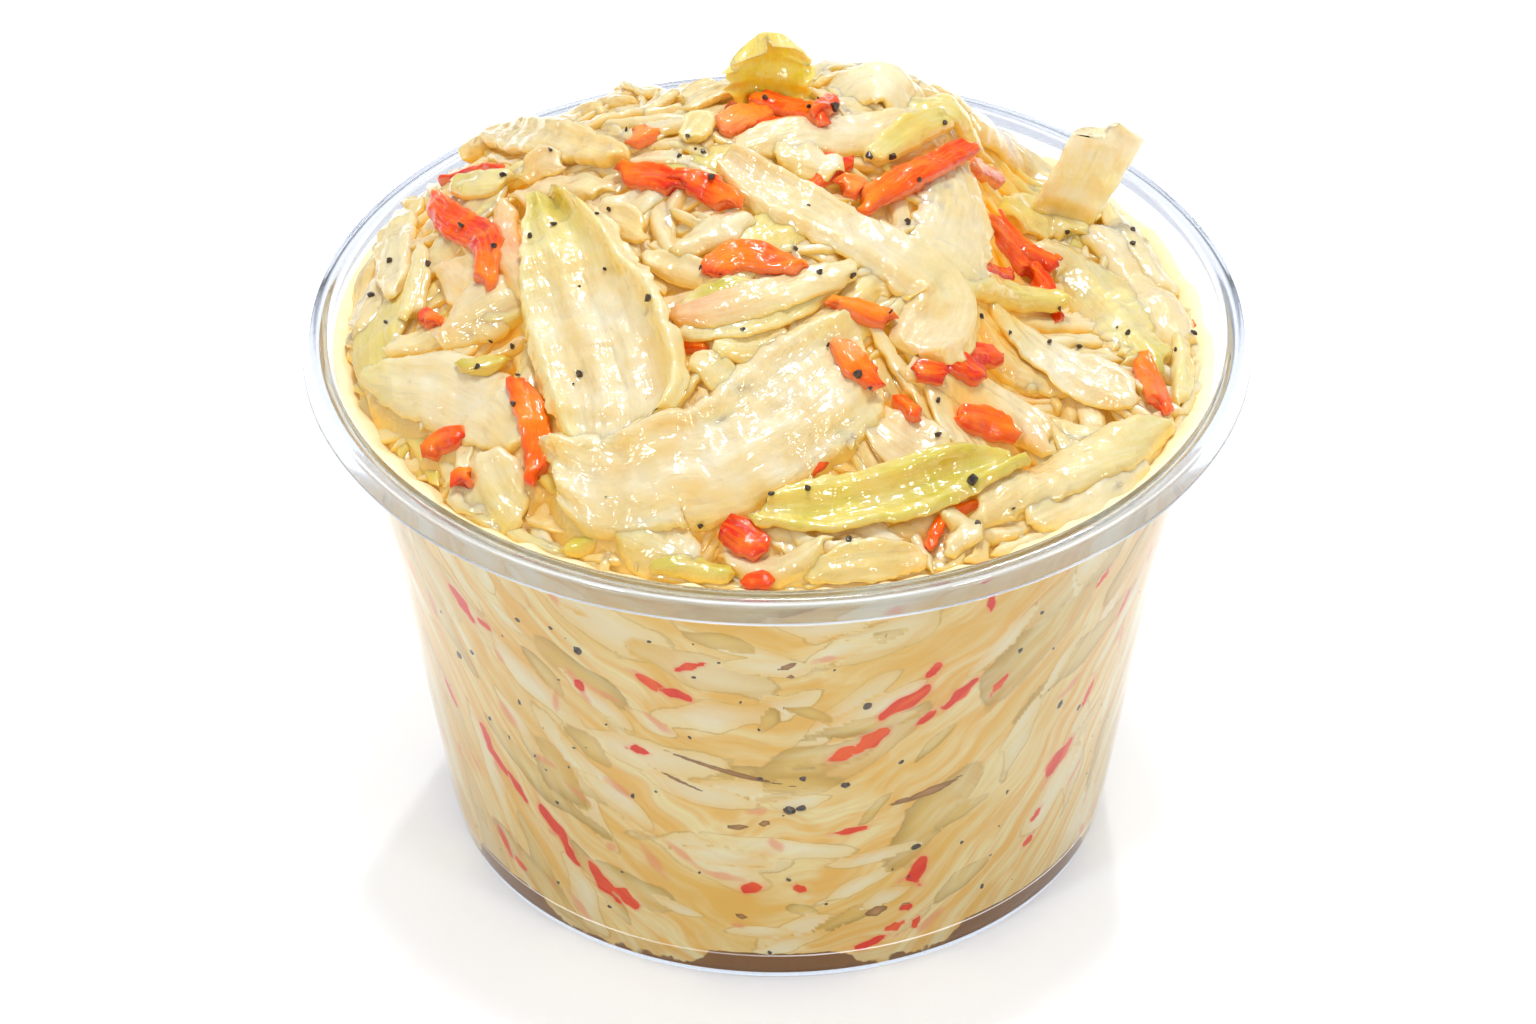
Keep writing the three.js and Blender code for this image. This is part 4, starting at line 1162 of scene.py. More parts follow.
# Pepper: each grain is a small rough ball, set by Geometry Nodes on a point of its own.
pepper = {
    "seed": 31,
    "size": (0.2, 0.42),
    "heapCount": 12,
    "wallCount": 120,
    "sunk": 0.25,
}
pepperSeen = [
    (553, 226, 1.0), (648, 302, 1.3), (579, 376, 1.3), (820, 274, 1.2), (853, 281, 0.9), (908, 224, 1.4), (973, 482, 1.7),
    (390, 263, 1.1), (371, 297, 1.2), (711, 178, 1.2), (704, 154, 0.8), (626, 130, 0.9), (550, 153, 0.9), (461, 228, 1.2),
    (494, 248, 1.0), (530, 237, 0.8), (869, 160, 1.1), (892, 164, 1.3), (920, 187, 1.0), (945, 138, 0.9), (765, 101, 0.7),
    (808, 109, 1.0), (835, 109, 1.3), (795, 251, 0.8), (712, 178, 1.0), (982, 319, 0.8), (1010, 335, 0.7), (1080, 347, 1.0),
    (1128, 335, 0.9), (1194, 334, 0.9), (1133, 245, 0.9), (1067, 240, 0.8), (938, 437, 1.0), (938, 403, 1.0), (858, 380, 1.2),
    (869, 403, 0.9), (808, 492, 1.0), (771, 494, 0.9), (977, 529, 1.0), (849, 541, 1.2), (512, 353, 1.0), (517, 376, 0.9),
    (490, 343, 0.8), (477, 372, 1.0), (513, 405, 0.8), (609, 213, 0.8), (597, 216, 0.6), (687, 139, 0.7), (679, 157, 0.8),
    (503, 177, 1.2), (604, 272, 0.7), (700, 270, 0.8), (743, 332, 0.6), (828, 348, 0.6), (890, 313, 0.6),
    (1049, 343, 0.9), (1060, 312, 0.7), (1176, 352, 0.7), (428, 265, 0.8), (386, 323, 0.6), (701, 534, 0.9), (1013, 512, 0.7),
]
wallPepperSeen = [
    (580, 648, 1.6), (867, 703, 1.7), (790, 808, 2.0), (801, 806, 1.4), (915, 845, 1.7), (520, 618, 1.2), (463, 653, 1.4),
    (475, 650, 1.0), (522, 700, 1.0), (634, 793, 0.9), (788, 878, 0.9), (845, 783, 1.3), (803, 776, 1.2), (1057, 702, 1.2),
    (1075, 706, 0.8), (552, 625, 0.8), (493, 716, 0.8), (512, 735, 0.9), (570, 765, 0.7), (980, 884, 0.9), (1018, 648, 0.8),
    (1040, 610, 0.7), (1135, 590, 0.8), (760, 776, 0.8), (690, 735, 0.6), (650, 640, 0.7), (720, 660, 0.6), (445, 610, 0.8),
    (740, 700, 0.6), (900, 760, 0.6), (960, 840, 0.7), (1005, 790, 0.7), (560, 880, 0.8), (700, 870, 0.7), (770, 950, 0.7),
]


def pepperPoints():
    draw = np.random.default_rng(pepper["seed"])
    spots, sizes = [], []
    for px, py, size in pepperSeen:
        found = pixelOnHeap(px, py, heights)
        if found is not None:
            z = float(sample(heights, *found))
            spots.append([found[0], found[1], z + pepper["sunk"] * 0.4])
            sizes.append(size * 0.36)
    for _ in range(pepper["heapCount"]):
        r, turn = 43 * math.sqrt(draw.random()), draw.uniform(0, 2 * math.pi)
        x, y = r * math.cos(turn), r * math.sin(turn)
        size = draw.uniform(*pepper["size"]) * (0.5 if y < 10 else 1)
        spots.append([x, y, float(sample(heights, x, y)) - pepper["sunk"] * size])
        sizes.append(size)
    for px, py, size in wallPepperSeen:
        angle, z = pixelOnWall(px, py)
        r = innerRadius(z) + pressed["intoWall"] - size * 0.12
        spots.append([r * math.sin(angle), -r * math.cos(angle), z])
        sizes.append(size * 0.42)
    for _ in range(pepper["wallCount"]):
        angle, z = draw.uniform(-math.pi, math.pi), draw.uniform(5, 52)
        size = draw.uniform(*pepper["size"]) * (0.55 if math.cos(angle) > 0.2 else 1)
        r = innerRadius(z) + pressed["intoWall"] - size * 0.3
        spots.append([r * math.sin(angle), -r * math.cos(angle), z])
        sizes.append(size)
    return np.array(spots), np.array(sizes)


def nodeIn(tree, kind, at=(0, 0), values=(), **settings):
    node = tree.nodes.new(kind)
    node.location = at
    for key, value in settings.items():
        setattr(node, key, value)
    for key, value in dict(values).items():
        if isinstance(value, bpy.types.NodeSocket):
            tree.links.new(value, node.inputs[key])
        else:
            node.inputs[key].default_value = value
    return node


def setInput(modifier, name, value):
    for item in modifier.node_group.interface.items_tree:
        if item.item_type == "SOCKET" and item.in_out == "INPUT" and item.name == name:
            modifier[item.identifier] = value
            return
    raise KeyError(name)


def newTree(name, inputs):
    tree = bpy.data.node_groups.new(name, "GeometryNodeTree")
    tree.interface.new_socket("Geometry", in_out="INPUT", socket_type="NodeSocketGeometry")
    for label, kind in inputs:
        tree.interface.new_socket(label, in_out="INPUT", socket_type=kind)
    tree.interface.new_socket("Geometry", in_out="OUTPUT", socket_type="NodeSocketGeometry")
    return tree, nodeIn(tree, "NodeGroupInput"), nodeIn(tree, "NodeGroupOutput")


def bake(thing, name):
    mesh = bpy.data.meshes.new_from_object(thing.evaluated_get(bpy.context.evaluated_depsgraph_get()))
    result = bpy.data.objects.new(name, mesh)
    bpy.context.scene.collection.objects.link(result)
    bpy.data.objects.remove(thing)
    return result


def grainTree():
    tree, given, out = newTree("pepperGrains", [("Grain", "NodeSocketFloat"), ("Roughness", "NodeSocketFloat"),
                                                ("Seed", "NodeSocketInt"), ("Material", "NodeSocketMaterial")])
    ball = nodeIn(tree, "GeometryNodeMeshUVSphere", values={"Segments": 7, "Rings": 5, "Radius": given.outputs["Grain"]})
    size = nodeIn(tree, "GeometryNodeInputNamedAttribute", values={"Name": "size"}, data_type="FLOAT")
    turn = nodeIn(tree, "FunctionNodeRandomValue", values={"Seed": given.outputs["Seed"]}, data_type="FLOAT_VECTOR")
    turn.inputs[1].default_value = (6.28, 6.28, 6.28)
    stretch = nodeIn(tree, "FunctionNodeRandomValue", values={"Seed": given.outputs["Seed"]}, data_type="FLOAT_VECTOR")
    stretch.inputs[0].default_value = (0.7, 0.7, 0.6)
    stretch.inputs[1].default_value = (1.25, 1.1, 1.0)
    scale = nodeIn(tree, "ShaderNodeVectorMath", values={0: stretch.outputs[0]}, operation="SCALE")
    tree.links.new(size.outputs["Attribute"], scale.inputs["Scale"])
    placed = nodeIn(tree, "GeometryNodeInstanceOnPoints", values={
        "Points": given.outputs["Geometry"],
        "Instance": ball.outputs["Mesh"],
        "Rotation": turn.outputs[0],
        "Scale": scale.outputs[0],
    })
    real = nodeIn(tree, "GeometryNodeRealizeInstances", values={"Geometry": placed.outputs[0]})
    where = nodeIn(tree, "GeometryNodeInputPosition")
    noise = nodeIn(tree, "ShaderNodeTexNoise", values={"Vector": where.outputs[0], "Scale": 1900.0, "Detail": 0.0})
    centred = nodeIn(tree, "ShaderNodeVectorMath", values={0: noise.outputs["Color"], 1: (0.5, 0.5, 0.5)}, operation="SUBTRACT")
    push = nodeIn(tree, "ShaderNodeVectorMath", values={0: centred.outputs[0]}, operation="SCALE")
    tree.links.new(given.outputs["Roughness"], push.inputs["Scale"])
    moved = nodeIn(tree, "GeometryNodeSetPosition", values={"Geometry": real.outputs[0], "Offset": push.outputs[0]})
    named = nodeIn(tree, "GeometryNodeSetMaterial", values={"Geometry": moved.outputs[0], "Material": given.outputs["Material"]})
    tree.links.new(named.outputs[0], out.inputs[0])
    return tree


def scatterPepper(material):
    spots, sizes = pepperPoints()
    thing = makeObject("pepperSpots", spots, [], [], {"size": sizes})
    modifier = thing.modifiers.new("grains", "NODES")
    modifier.node_group = grainTree()
    setInput(modifier, "Grain", mm)
    setInput(modifier, "Roughness", 0.5 * mm)
    setInput(modifier, "Seed", pepper["seed"])
    setInput(modifier, "Material", material)
    return bake(thing, "pepperGrains")


# The cup is its section turned round the axis.
def cupSection():
    heights = list(np.linspace(8, cup["flareStart"], 7)) + list(np.linspace(cup["flareStart"], 54.5, 9))[1:]
    lipHeight = cup["rimHeight"] - cup["lipDrop"]
    rim, sheet, flangeInner, flangeOuter = cup["rimHeight"], cup["sheet"], cup["flangeInner"], cup["flangeOuter"]
    floorTop = cup["floorHeight"] + sheet
    corners = [
        (0, cup["floorHeight"], 0),
        (cup["footInner"] - 1.6, cup["floorHeight"], 0.4),
        (cup["footInner"], 0, 0.3),
        (cup["footRadius"] - 0.4, 0, 0.15),
        (cup["footRadius"], 0.4, 0.15),
        (cup["heelRadius"], cup["heelHeight"], 0.35),
        *[(float(wallRadius(z)), z, 0) for z in heights],
        (flangeInner + 0.45, rim - 1.4, 0.3),
        (flangeOuter - 0.7, rim - sheet, 0.3),
        (flangeOuter - 0.1, rim - sheet - 0.4, 0.2),
        (cup["lipRadius"] - sheet, lipHeight, 0.1),
        (cup["lipRadius"], lipHeight, 0.1),
        (flangeOuter + 0.35, rim - 0.45, 0.3),
        (flangeOuter - 0.2, rim, 0.25),
        (flangeInner + 0.35, rim, 0.2),
        (flangeInner, rim - 0.4, 0.2),
        (flangeInner - 0.22, rim - 1.6, 0.3),
        *[(float(innerRadius(z)), z, 0) for z in heights[::-1]],
        (cup["heelRadius"] - sheet, cup["heelHeight"], 0.3),
        (cup["footRadius"] - sheet - 0.2, sheet, 0.3),
        (float(stepRadius(sheet)), sheet, 0.3),
        (float(stepRadius(floorTop)), floorTop, 0.4),
        (0, floorTop, 0),
    ]
    rounded = []
    for k, (r, z, soft) in enumerate(corners):
        here = np.array([r, z])
        if not soft:
            rounded.append(here)
            continue
        before, after = (np.array(corners[k + way][:2]) for way in (-1, 1))
        reaches = [min(soft, 0.45 * np.linalg.norm(p - here)) for p in (before, after)]
        first = here + (before - here) / np.linalg.norm(before - here) * reaches[0]
        last = here + (after - here) / np.linalg.norm(after - here) * reaches[1]
        for t in (0, 0.33, 0.67, 1):
            rounded.append((1 - t) ** 2 * first + 2 * t * (1 - t) * here + t * t * last)
    return np.array([[r, 0, z] for r, z in rounded])


def cupTree():
    tree, given, out = newTree("turnedCup", [("Sides", "NodeSocketInt"), ("Section Points", "NodeSocketInt"),
                                             ("Weld", "NodeSocketFloat"), ("Material", "NodeSocketMaterial")])
    across = nodeIn(tree, "ShaderNodeMath", values={0: given.outputs["Sides"], 1: 1}, operation="ADD")
    grid = nodeIn(tree, "GeometryNodeMeshGrid", values={"Vertices X": across.outputs[0],
                                                        "Vertices Y": given.outputs["Section Points"]})
    index = nodeIn(tree, "GeometryNodeInputIndex")
    column = nodeIn(tree, "ShaderNodeMath", values={0: index.outputs[0], 1: given.outputs["Section Points"]}, operation="DIVIDE")
    whole = nodeIn(tree, "ShaderNodeMath", values={0: column.outputs[0]}, operation="FLOOR")
    rowOf = nodeIn(tree, "ShaderNodeMath", values={0: index.outputs[0], 1: given.outputs["Section Points"]}, operation="MODULO")
    place = nodeIn(tree, "GeometryNodeInputPosition")
    section = nodeIn(tree, "GeometryNodeSampleIndex", values={"Geometry": given.outputs["Geometry"]},
                     data_type="FLOAT_VECTOR", domain="POINT")
    tree.links.new(place.outputs[0], section.inputs["Value"])
    tree.links.new(rowOf.outputs[0], section.inputs["Index"])
    share = nodeIn(tree, "ShaderNodeMath", values={0: whole.outputs[0], 1: given.outputs["Sides"]}, operation="DIVIDE")
    angle = nodeIn(tree, "ShaderNodeMath", values={0: share.outputs[0], 1: 2 * math.pi}, operation="MULTIPLY")
    turned = nodeIn(tree, "ShaderNodeVectorRotate", values={"Vector": section.outputs[0], "Angle": angle.outputs[0]},
                    rotation_type="Z_AXIS")
    shell = nodeIn(tree, "GeometryNodeSetPosition", values={"Geometry": grid.outputs["Mesh"], "Position": turned.outputs[0]})
    weld = nodeIn(tree, "GeometryNodeMergeByDistance", values={"Geometry": shell.outputs[0], "Distance": given.outputs["Weld"]})
    smooth = nodeIn(tree, "GeometryNodeSetShadeSmooth", values={"Geometry": weld.outputs[0]})
    real = nodeIn(tree, "GeometryNodeRealizeInstances", values={"Geometry": smooth.outputs[0]})
    named = nodeIn(tree, "GeometryNodeSetMaterial", values={"Geometry": real.outputs[0], "Material": given.outputs["Material"]})
    tree.links.new(named.outputs[0], out.inputs[0])
    return tree


def turnCup(material):
    section = cupSection()
    thing = makeObject("cupSection", section, [], [])
    modifier = thing.modifiers.new("turn", "NODES")
    modifier.node_group = cupTree()
    setInput(modifier, "Sides", cup["sides"])
    setInput(modifier, "Section Points", len(section))
    setInput(modifier, "Weld", 0.005 * mm)
    setInput(modifier, "Material", material)
    shell = bake(thing, "cupShell")
    pointOutwards(shell)
    return shell


def pointOutwards(thing):
    work = bmesh.new()
    work.from_mesh(thing.data)
    bmesh.ops.recalc_face_normals(work, faces=work.faces)
    if work.calc_volume(signed=True) < 0:
        bmesh.ops.reverse_faces(work, faces=work.faces)
    work.to_mesh(thing.data)
    work.free()


def newMaterial(name):
    material = bpy.data.materials.new(name)
    material.use_nodes = True
    material.node_tree.nodes.clear()
    return material, material.node_tree


def attribute(tree, name, output="Fac"):
    return nodeIn(tree, "ShaderNodeAttribute", attribute_name=name).outputs[output]


def mixColour(tree, factor, first, second, blend="MIX"):
    node = nodeIn(tree, "ShaderNodeMix", data_type="RGBA", blend_type=blend)
    for socket, value in ((node.inputs[0], factor), (node.inputs[6], first), (node.inputs[7], second)):
        if isinstance(value, bpy.types.NodeSocket):
            tree.links.new(value, socket)
        else:
            socket.default_value = (*value, 1) if np.ndim(value) else value
    return node.outputs[2]


def ramp(tree, value, low, high, toLow=0.0, toHigh=1.0):
    return nodeIn(tree, "ShaderNodeMapRange", values={0: value, 1: low, 2: high, 3: toLow, 4: toHigh}).outputs[0]


def maths(tree, operation, first, second=0.0):
    return nodeIn(tree, "ShaderNodeMath", values={0: first, 1: second}, operation=operation).outputs[0]


def scaled(tree, vector, factors):
    return nodeIn(tree, "ShaderNodeVectorMath", values={0: vector, 1: factors}, operation="MULTIPLY").outputs[0]


def noiseOf(tree, vector, scale, detail=2.0, roughness=0.5, output="Fac", dimensions="3D"):
    return nodeIn(tree, "ShaderNodeTexNoise", values={"Vector": vector, "Scale": scale, "Detail": detail,
                                                      "Roughness": roughness}, noise_dimensions=dimensions).outputs[output]


def placeInMm(tree):
    return scaled(tree, nodeIn(tree, "ShaderNodeTexCoord").outputs["Object"], (1000, 1000, 1000))


def bumpFrom(tree, height, depth, strength=1.0):
    return nodeIn(tree, "ShaderNodeBump", values={"Strength": strength, "Distance": depth * mm, "Height": height}).outputs[0]


def finishMaterial(material, tree, values):
    material.cycles.emission_sampling = "NONE"
    shader = nodeIn(tree, "ShaderNodeBsdfPrincipled", values=values)
    out = nodeIn(tree, "ShaderNodeOutputMaterial")
    tree.links.new(shader.outputs[0], out.inputs[0])
    return material


# The wet skin of the dressing, in millimetres: soft swells, small beads, and crinkles in patches.
skin = {"swell": 0.24, "bead": 0.02, "crinkle": 0.17, "fibre": 0.06}


def wetSkin(tree, where, lay):
    swell = noiseOf(tree, where, 0.42, 1.0, 0.5)
    beads = ramp(tree, noiseOf(tree, where, 1.9, 0.0), 0.5, 0.72)
    cells = nodeIn(tree, "ShaderNodeTexVoronoi", values={"Vector": scaled(tree, lay, (0.34, 1.1, 1.0)), "Scale": 1.0,
                                                         "Smoothness": 0.4}, feature="SMOOTH_F1",
                   voronoi_dimensions="2D").outputs["Distance"]
    patches = ramp(tree, noiseOf(tree, where, 0.11, 0.0), 0.42, 0.58)
    height = maths(tree, "ADD", maths(tree, "MULTIPLY", swell, skin["swell"] * 2), maths(tree, "MULTIPLY", beads, skin["bead"]))
    crinkle = maths(tree, "MULTIPLY", maths(tree, "MULTIPLY", cells, patches), skin["crinkle"])
    return maths(tree, "ADD", height, crinkle)


def dressedCabbage(leafy):
    material, tree = newMaterial("dressedCabbage" if leafy else "packedCabbage")
    where = placeInMm(tree)
    lay = attribute(tree, "lay", "Vector")
    fibre = noiseOf(tree, scaled(tree, lay, (0.2, 2.3, 1.0)), 1.0, 2.0, 0.65, dimensions="2D")
    cloud = noiseOf(tree, where, 0.17, 1.0)
    film = ramp(tree, noiseOf(tree, where, 0.3, 2.0, 0.6), 0.44, 0.56)
    buried = attribute(tree, "buried")
    tint = attribute(tree, "tint", "Color")
    blue = nodeIn(tree, "ShaderNodeSeparateColor", values={0: tint}).outputs[2]
    dressing = ramp(tree, blue, 0.02, 0.4, 0.25, 1.0)  # green pieces carry less of it
    veins = maths(tree, "MULTIPLY", ramp(tree, fibre, 0.46, 0.7, 0.0, 0.26), dressing)
    colour = mixColour(tree, veins, tint, (1, 0.97, 0.84))
    colour = mixColour(tree, ramp(tree, fibre, 0.28, 0.48, 0.13, 0.0), colour, tints["butter"])
    colour = mixColour(tree, ramp(tree, cloud, 0.5, 0.7, 0.0, 0.5), colour, tints["butter"])
    colour = mixColour(tree, maths(tree, "MULTIPLY", film, maths(tree, "MULTIPLY", dressing, 0.4)), colour, tints["cream"])
    if leafy:
        # painted light: the thin edges are drawn lighter, for the light that passes them; less on green pieces
        rim = maths(tree, "MULTIPLY", ramp(tree, attribute(tree, "rim"), 0.74, 0.95, 0.0, 0.5), dressing)
        colour = mixColour(tree, rim, colour, tints["milk"])
    # painted shade: steep sides are darkened to a deeper yellow
    colour = mixColour(tree, ramp(tree, attribute(tree, "steep"), 0.08, 0.85), colour, (0.98, 0.8, 0.34), "MULTIPLY")
    # painted shade: what lies deep in the gaps is darkened to amber
    colour = mixColour(tree, ramp(tree, buried, 0.0, 0.9), colour, (0.94, 0.7, 0.2), "MULTIPLY")
    colour = mixColour(tree, 1.0, colour, (0.84, 0.835, 0.81), "MULTIPLY")
    surface = bumpFrom(tree, maths(tree, "ADD", wetSkin(tree, where, lay), maths(tree, "MULTIPLY", fibre, skin["fibre"])), 1.0)
    proud = attribute(tree, "proud")
    # painted glow: an amber emission deep in the gaps and on steep sides, and a glow where a piece stands up, for light
    # that passes through the dressing and the leaves
    glow = maths(tree, "ADD", ramp(tree, buried, 0.0, 1.0, 0.0, 0.16), ramp(tree, attribute(tree, "steep"), 0.1, 0.9, 0.0, 0.13))
    glow = maths(tree, "ADD", glow, maths(tree, "MULTIPLY", proud, 0.18))
    return finishMaterial(material, tree, {
        "Base Color": colour,
        "Roughness": ramp(tree, film, 0, 1, 0.42, 0.3),
        "IOR": 1.36,
        "Subsurface Weight": 0.5,
        "Subsurface Radius": (1.0, 0.78, 0.5),
        "Subsurface Scale": 1.3 * mm,
        "Coat Weight": ramp(tree, buried, 0.0, 0.6, 1.0, 0.2),
        "Coat Roughness": 0.04,
        "Coat IOR": 1.66,
        "Coat Normal": surface,
        "Normal": surface,
        "Emission Color": mixColour(tree, proud, tints["amber"], colour),
        "Emission Strength": glow,
    })


def dressedCarrot():
    material, tree = newMaterial("dressedCarrot")
    where = placeInMm(tree)
    lay = attribute(tree, "lay", "Vector")
    fibre = noiseOf(tree, scaled(tree, lay, (0.3, 2.6, 1.0)), 1.0, 2.0, 0.6, dimensions="2D")
    film = ramp(tree, noiseOf(tree, where, 0.42, 2.0, 0.62), 0.5, 0.66)
    colour = mixColour(tree, ramp(tree, fibre, 0.44, 0.66, 0.0, 0.5), attribute(tree, "tint", "Color"), tints["carrotPale"])
    colour = mixColour(tree, maths(tree, "MULTIPLY", film, 0.42), colour, tints["glaze"])
    # painted shade: steep sides of the carrot are darkened to a deeper red
    colour = mixColour(tree, ramp(tree, attribute(tree, "steep"), 0.1, 0.75), colour, (0.8, 0.42, 0.3), "MULTIPLY")
    rim = maths(tree, "MULTIPLY", ramp(tree, attribute(tree, "rim"), 0.88, 1.0), 0.5)
    colour = mixColour(tree, rim, colour, tints["blush"])
    surface = bumpFrom(tree, maths(tree, "ADD", wetSkin(tree, where, lay), maths(tree, "MULTIPLY", fibre, 0.12)), 1.0)
    return finishMaterial(material, tree, {
        "Base Color": colour,
        "Roughness": 0.36,
        "Specular IOR Level": 0.05,
        "Subsurface Weight": 0.3,
        "Subsurface Radius": (1.0, 0.3, 0.05),
        "Subsurface Scale": 0.8 * mm,
        "Coat Weight": 0.8,
        "Coat Roughness": 0.04,
        "Coat IOR": 1.55,
        "Coat Normal": surface,
        "Normal": surface,
        # painted glow: a faint deep red emission, for light that passes through the carrot
        "Emission Color": (*tints["carrotDeep"], 1),
        "Emission Strength": 0.05,
    })


def pressedMix():
    material, tree = newMaterial("pressedSlaw")
    where = placeInMm(tree)
    flow = attribute(tree, "flow", "Vector")
    wobble = nodeIn(tree, "ShaderNodeVectorMath", values={0: noiseOf(tree, where, 0.1, 1.0, 0.5, "Color"),
                                                         1: (0.5, 0.5, 0.5)}, operation="SUBTRACT").outputs[0]
    bent = nodeIn(tree, "ShaderNodeVectorMath", values={0: flow, 1: scaled(tree, wobble, (2.0, 2.0, 9.0))},
                  operation="ADD").outputs[0]
    streak = noiseOf(tree, scaled(tree, bent, (0.8, 0.8, 0.4)), 1.0, 2.0, 0.6)
    wide = noiseOf(tree, scaled(tree, bent, (0.45, 0.45, 0.1)), 1.0, 1.0, 0.5)
    fine = maths(tree, "MULTIPLY", maths(tree, "SUBTRACT", noiseOf(tree, where, 0.9, 3.0, 0.6), 0.5), 0.4)
    colour = mixColour(tree, ramp(tree, streak, 0.38, 0.62), srgb(250, 200, 104), srgb(255, 238, 178))
    speck = ramp(tree, noiseOf(tree, scaled(tree, bent, (1.6, 1.6, 1.0)), 1.6, 2.0, 0.65), 0.36, 0.64, 0.0, 0.3)
    colour = mixColour(tree, speck, colour, srgb(236, 184, 92))
    colour = mixColour(tree, ramp(tree, wide, 0.45, 0.64, 0.0, 0.55), colour, srgb(244, 196, 84))

    def level(name, low, high, share=1.0, noise=fine):
        value = maths(tree, "ADD", attribute(tree, name), noise)
        return maths(tree, "MULTIPLY", ramp(tree, value, low, high), share)

    inner = level("leaf", 0.0, 0.8)
    glassy = mixColour(tree, inner, srgb(190, 148, 54), srgb(228, 200, 112))
    milky = mixColour(tree, inner, srgb(252, 226, 154), srgb(255, 252, 226))
    leaf = mixColour(tree, ramp(tree, attribute(tree, "tone"), -0.25, 0.25), glassy, milky)
    leaf = mixColour(tree, ramp(tree, streak, 0.45, 0.7, 0.0, 0.3), leaf, srgb(252, 232, 190))
    fade = attribute(tree, "fade")
    colour = mixColour(tree, maths(tree, "MULTIPLY", level("leaf", 0.0, 0.06, 0.85), fade), colour, leaf)
    outline = maths(tree, "MULTIPLY", level("leaf", -0.08, 0.0, 0.45), maths(tree, "SUBTRACT", 1.0, level("leaf", 0.02, 0.12)))
    outline = maths(tree, "MULTIPLY", outline, fade)
    colour = mixColour(tree, outline, colour, srgb(186, 140, 60))
    colour = mixColour(tree, level("faint", -0.1, 0.7, 0.6), colour, srgb(246, 150, 104))
    colour = mixColour(tree, level("pocket", 0.0, 0.1, 0.9), colour,
                       mixColour(tree, level("pocket", 0.1, 0.8), srgb(132, 82, 34), srgb(192, 138, 86)))
    colour = mixColour(tree, level("carrot", -0.7, 0.05, 0.42), colour, srgb(248, 148, 104))
    colour = mixColour(tree, level("carrot", 0.0, 0.12, 0.95), colour,
                       mixColour(tree, ramp(tree, streak, 0.42, 0.66), srgb(240, 34, 0), srgb(255, 92, 4)))
    # painted shade: the moat's bottom is drawn brown, for the shade seen under the raised floor
    colour = mixColour(tree, level("moat", 0.0, 0.25), colour, srgb(150, 100, 44))
    colour = mixColour(tree, attribute(tree, "crest"), colour, mixColour(tree, streak, tints["cream"], tints["milk"]))
    return finishMaterial(material, tree, {
        "Base Color": colour,
        "Roughness": 0.5,
        "Specular IOR Level": 0.0,
    })


def blackPepper():
    material, tree = newMaterial("blackPepper")
    noise = noiseOf(tree, placeInMm(tree), 2.2, 2.0, 0.5)
    return finishMaterial(material, tree, {
        "Base Color": mixColour(tree, ramp(tree, noise, 0.4, 0.65), srgb(26, 20, 17), srgb(84, 58, 34)),
        "Roughness": 0.45,
        "Coat Weight": 0.4,
        "Coat Roughness": 0.15,
    })


# Painted highlights: where the sheet bends sharply it is drawn whiter and glowing, for the light it gathers there: the
# rings at the rim's edges and at the heel.
# Each has its radius, height and width in millimetres.
gathered = ((46.1, 58.7, 0.3), (48.3, 58.5, 0.26), (48.95, 56.4, 0.22), (35.3, 3.73, 0.13))


def gatheredLight(tree):
    where = placeInMm(tree)
    parts = nodeIn(tree, "ShaderNodeSeparateXYZ", values={0: where}).outputs
    radius = maths(tree, "SQRT", maths(tree, "ADD", maths(tree, "POWER", parts[0], 2.0), maths(tree, "POWER", parts[1], 2.0)))
    total = 0.0
    varied = ramp(tree, noiseOf(tree, where, 0.035, 1.0), 0.38, 0.6, 0.45, 1.0)
    for r, z, width in gathered:
        away = maths(tree, "ADD", maths(tree, "POWER", maths(tree, "SUBTRACT", radius, r), 2.0),
                     maths(tree, "POWER", maths(tree, "SUBTRACT", parts[2], z), 2.0))
        total = maths(tree, "MAXIMUM", ramp(tree, maths(tree, "SQRT", away), width * 0.4, width, 1.0, 0.0), total)
    return maths(tree, "MULTIPLY", total, varied), radius, parts[2]


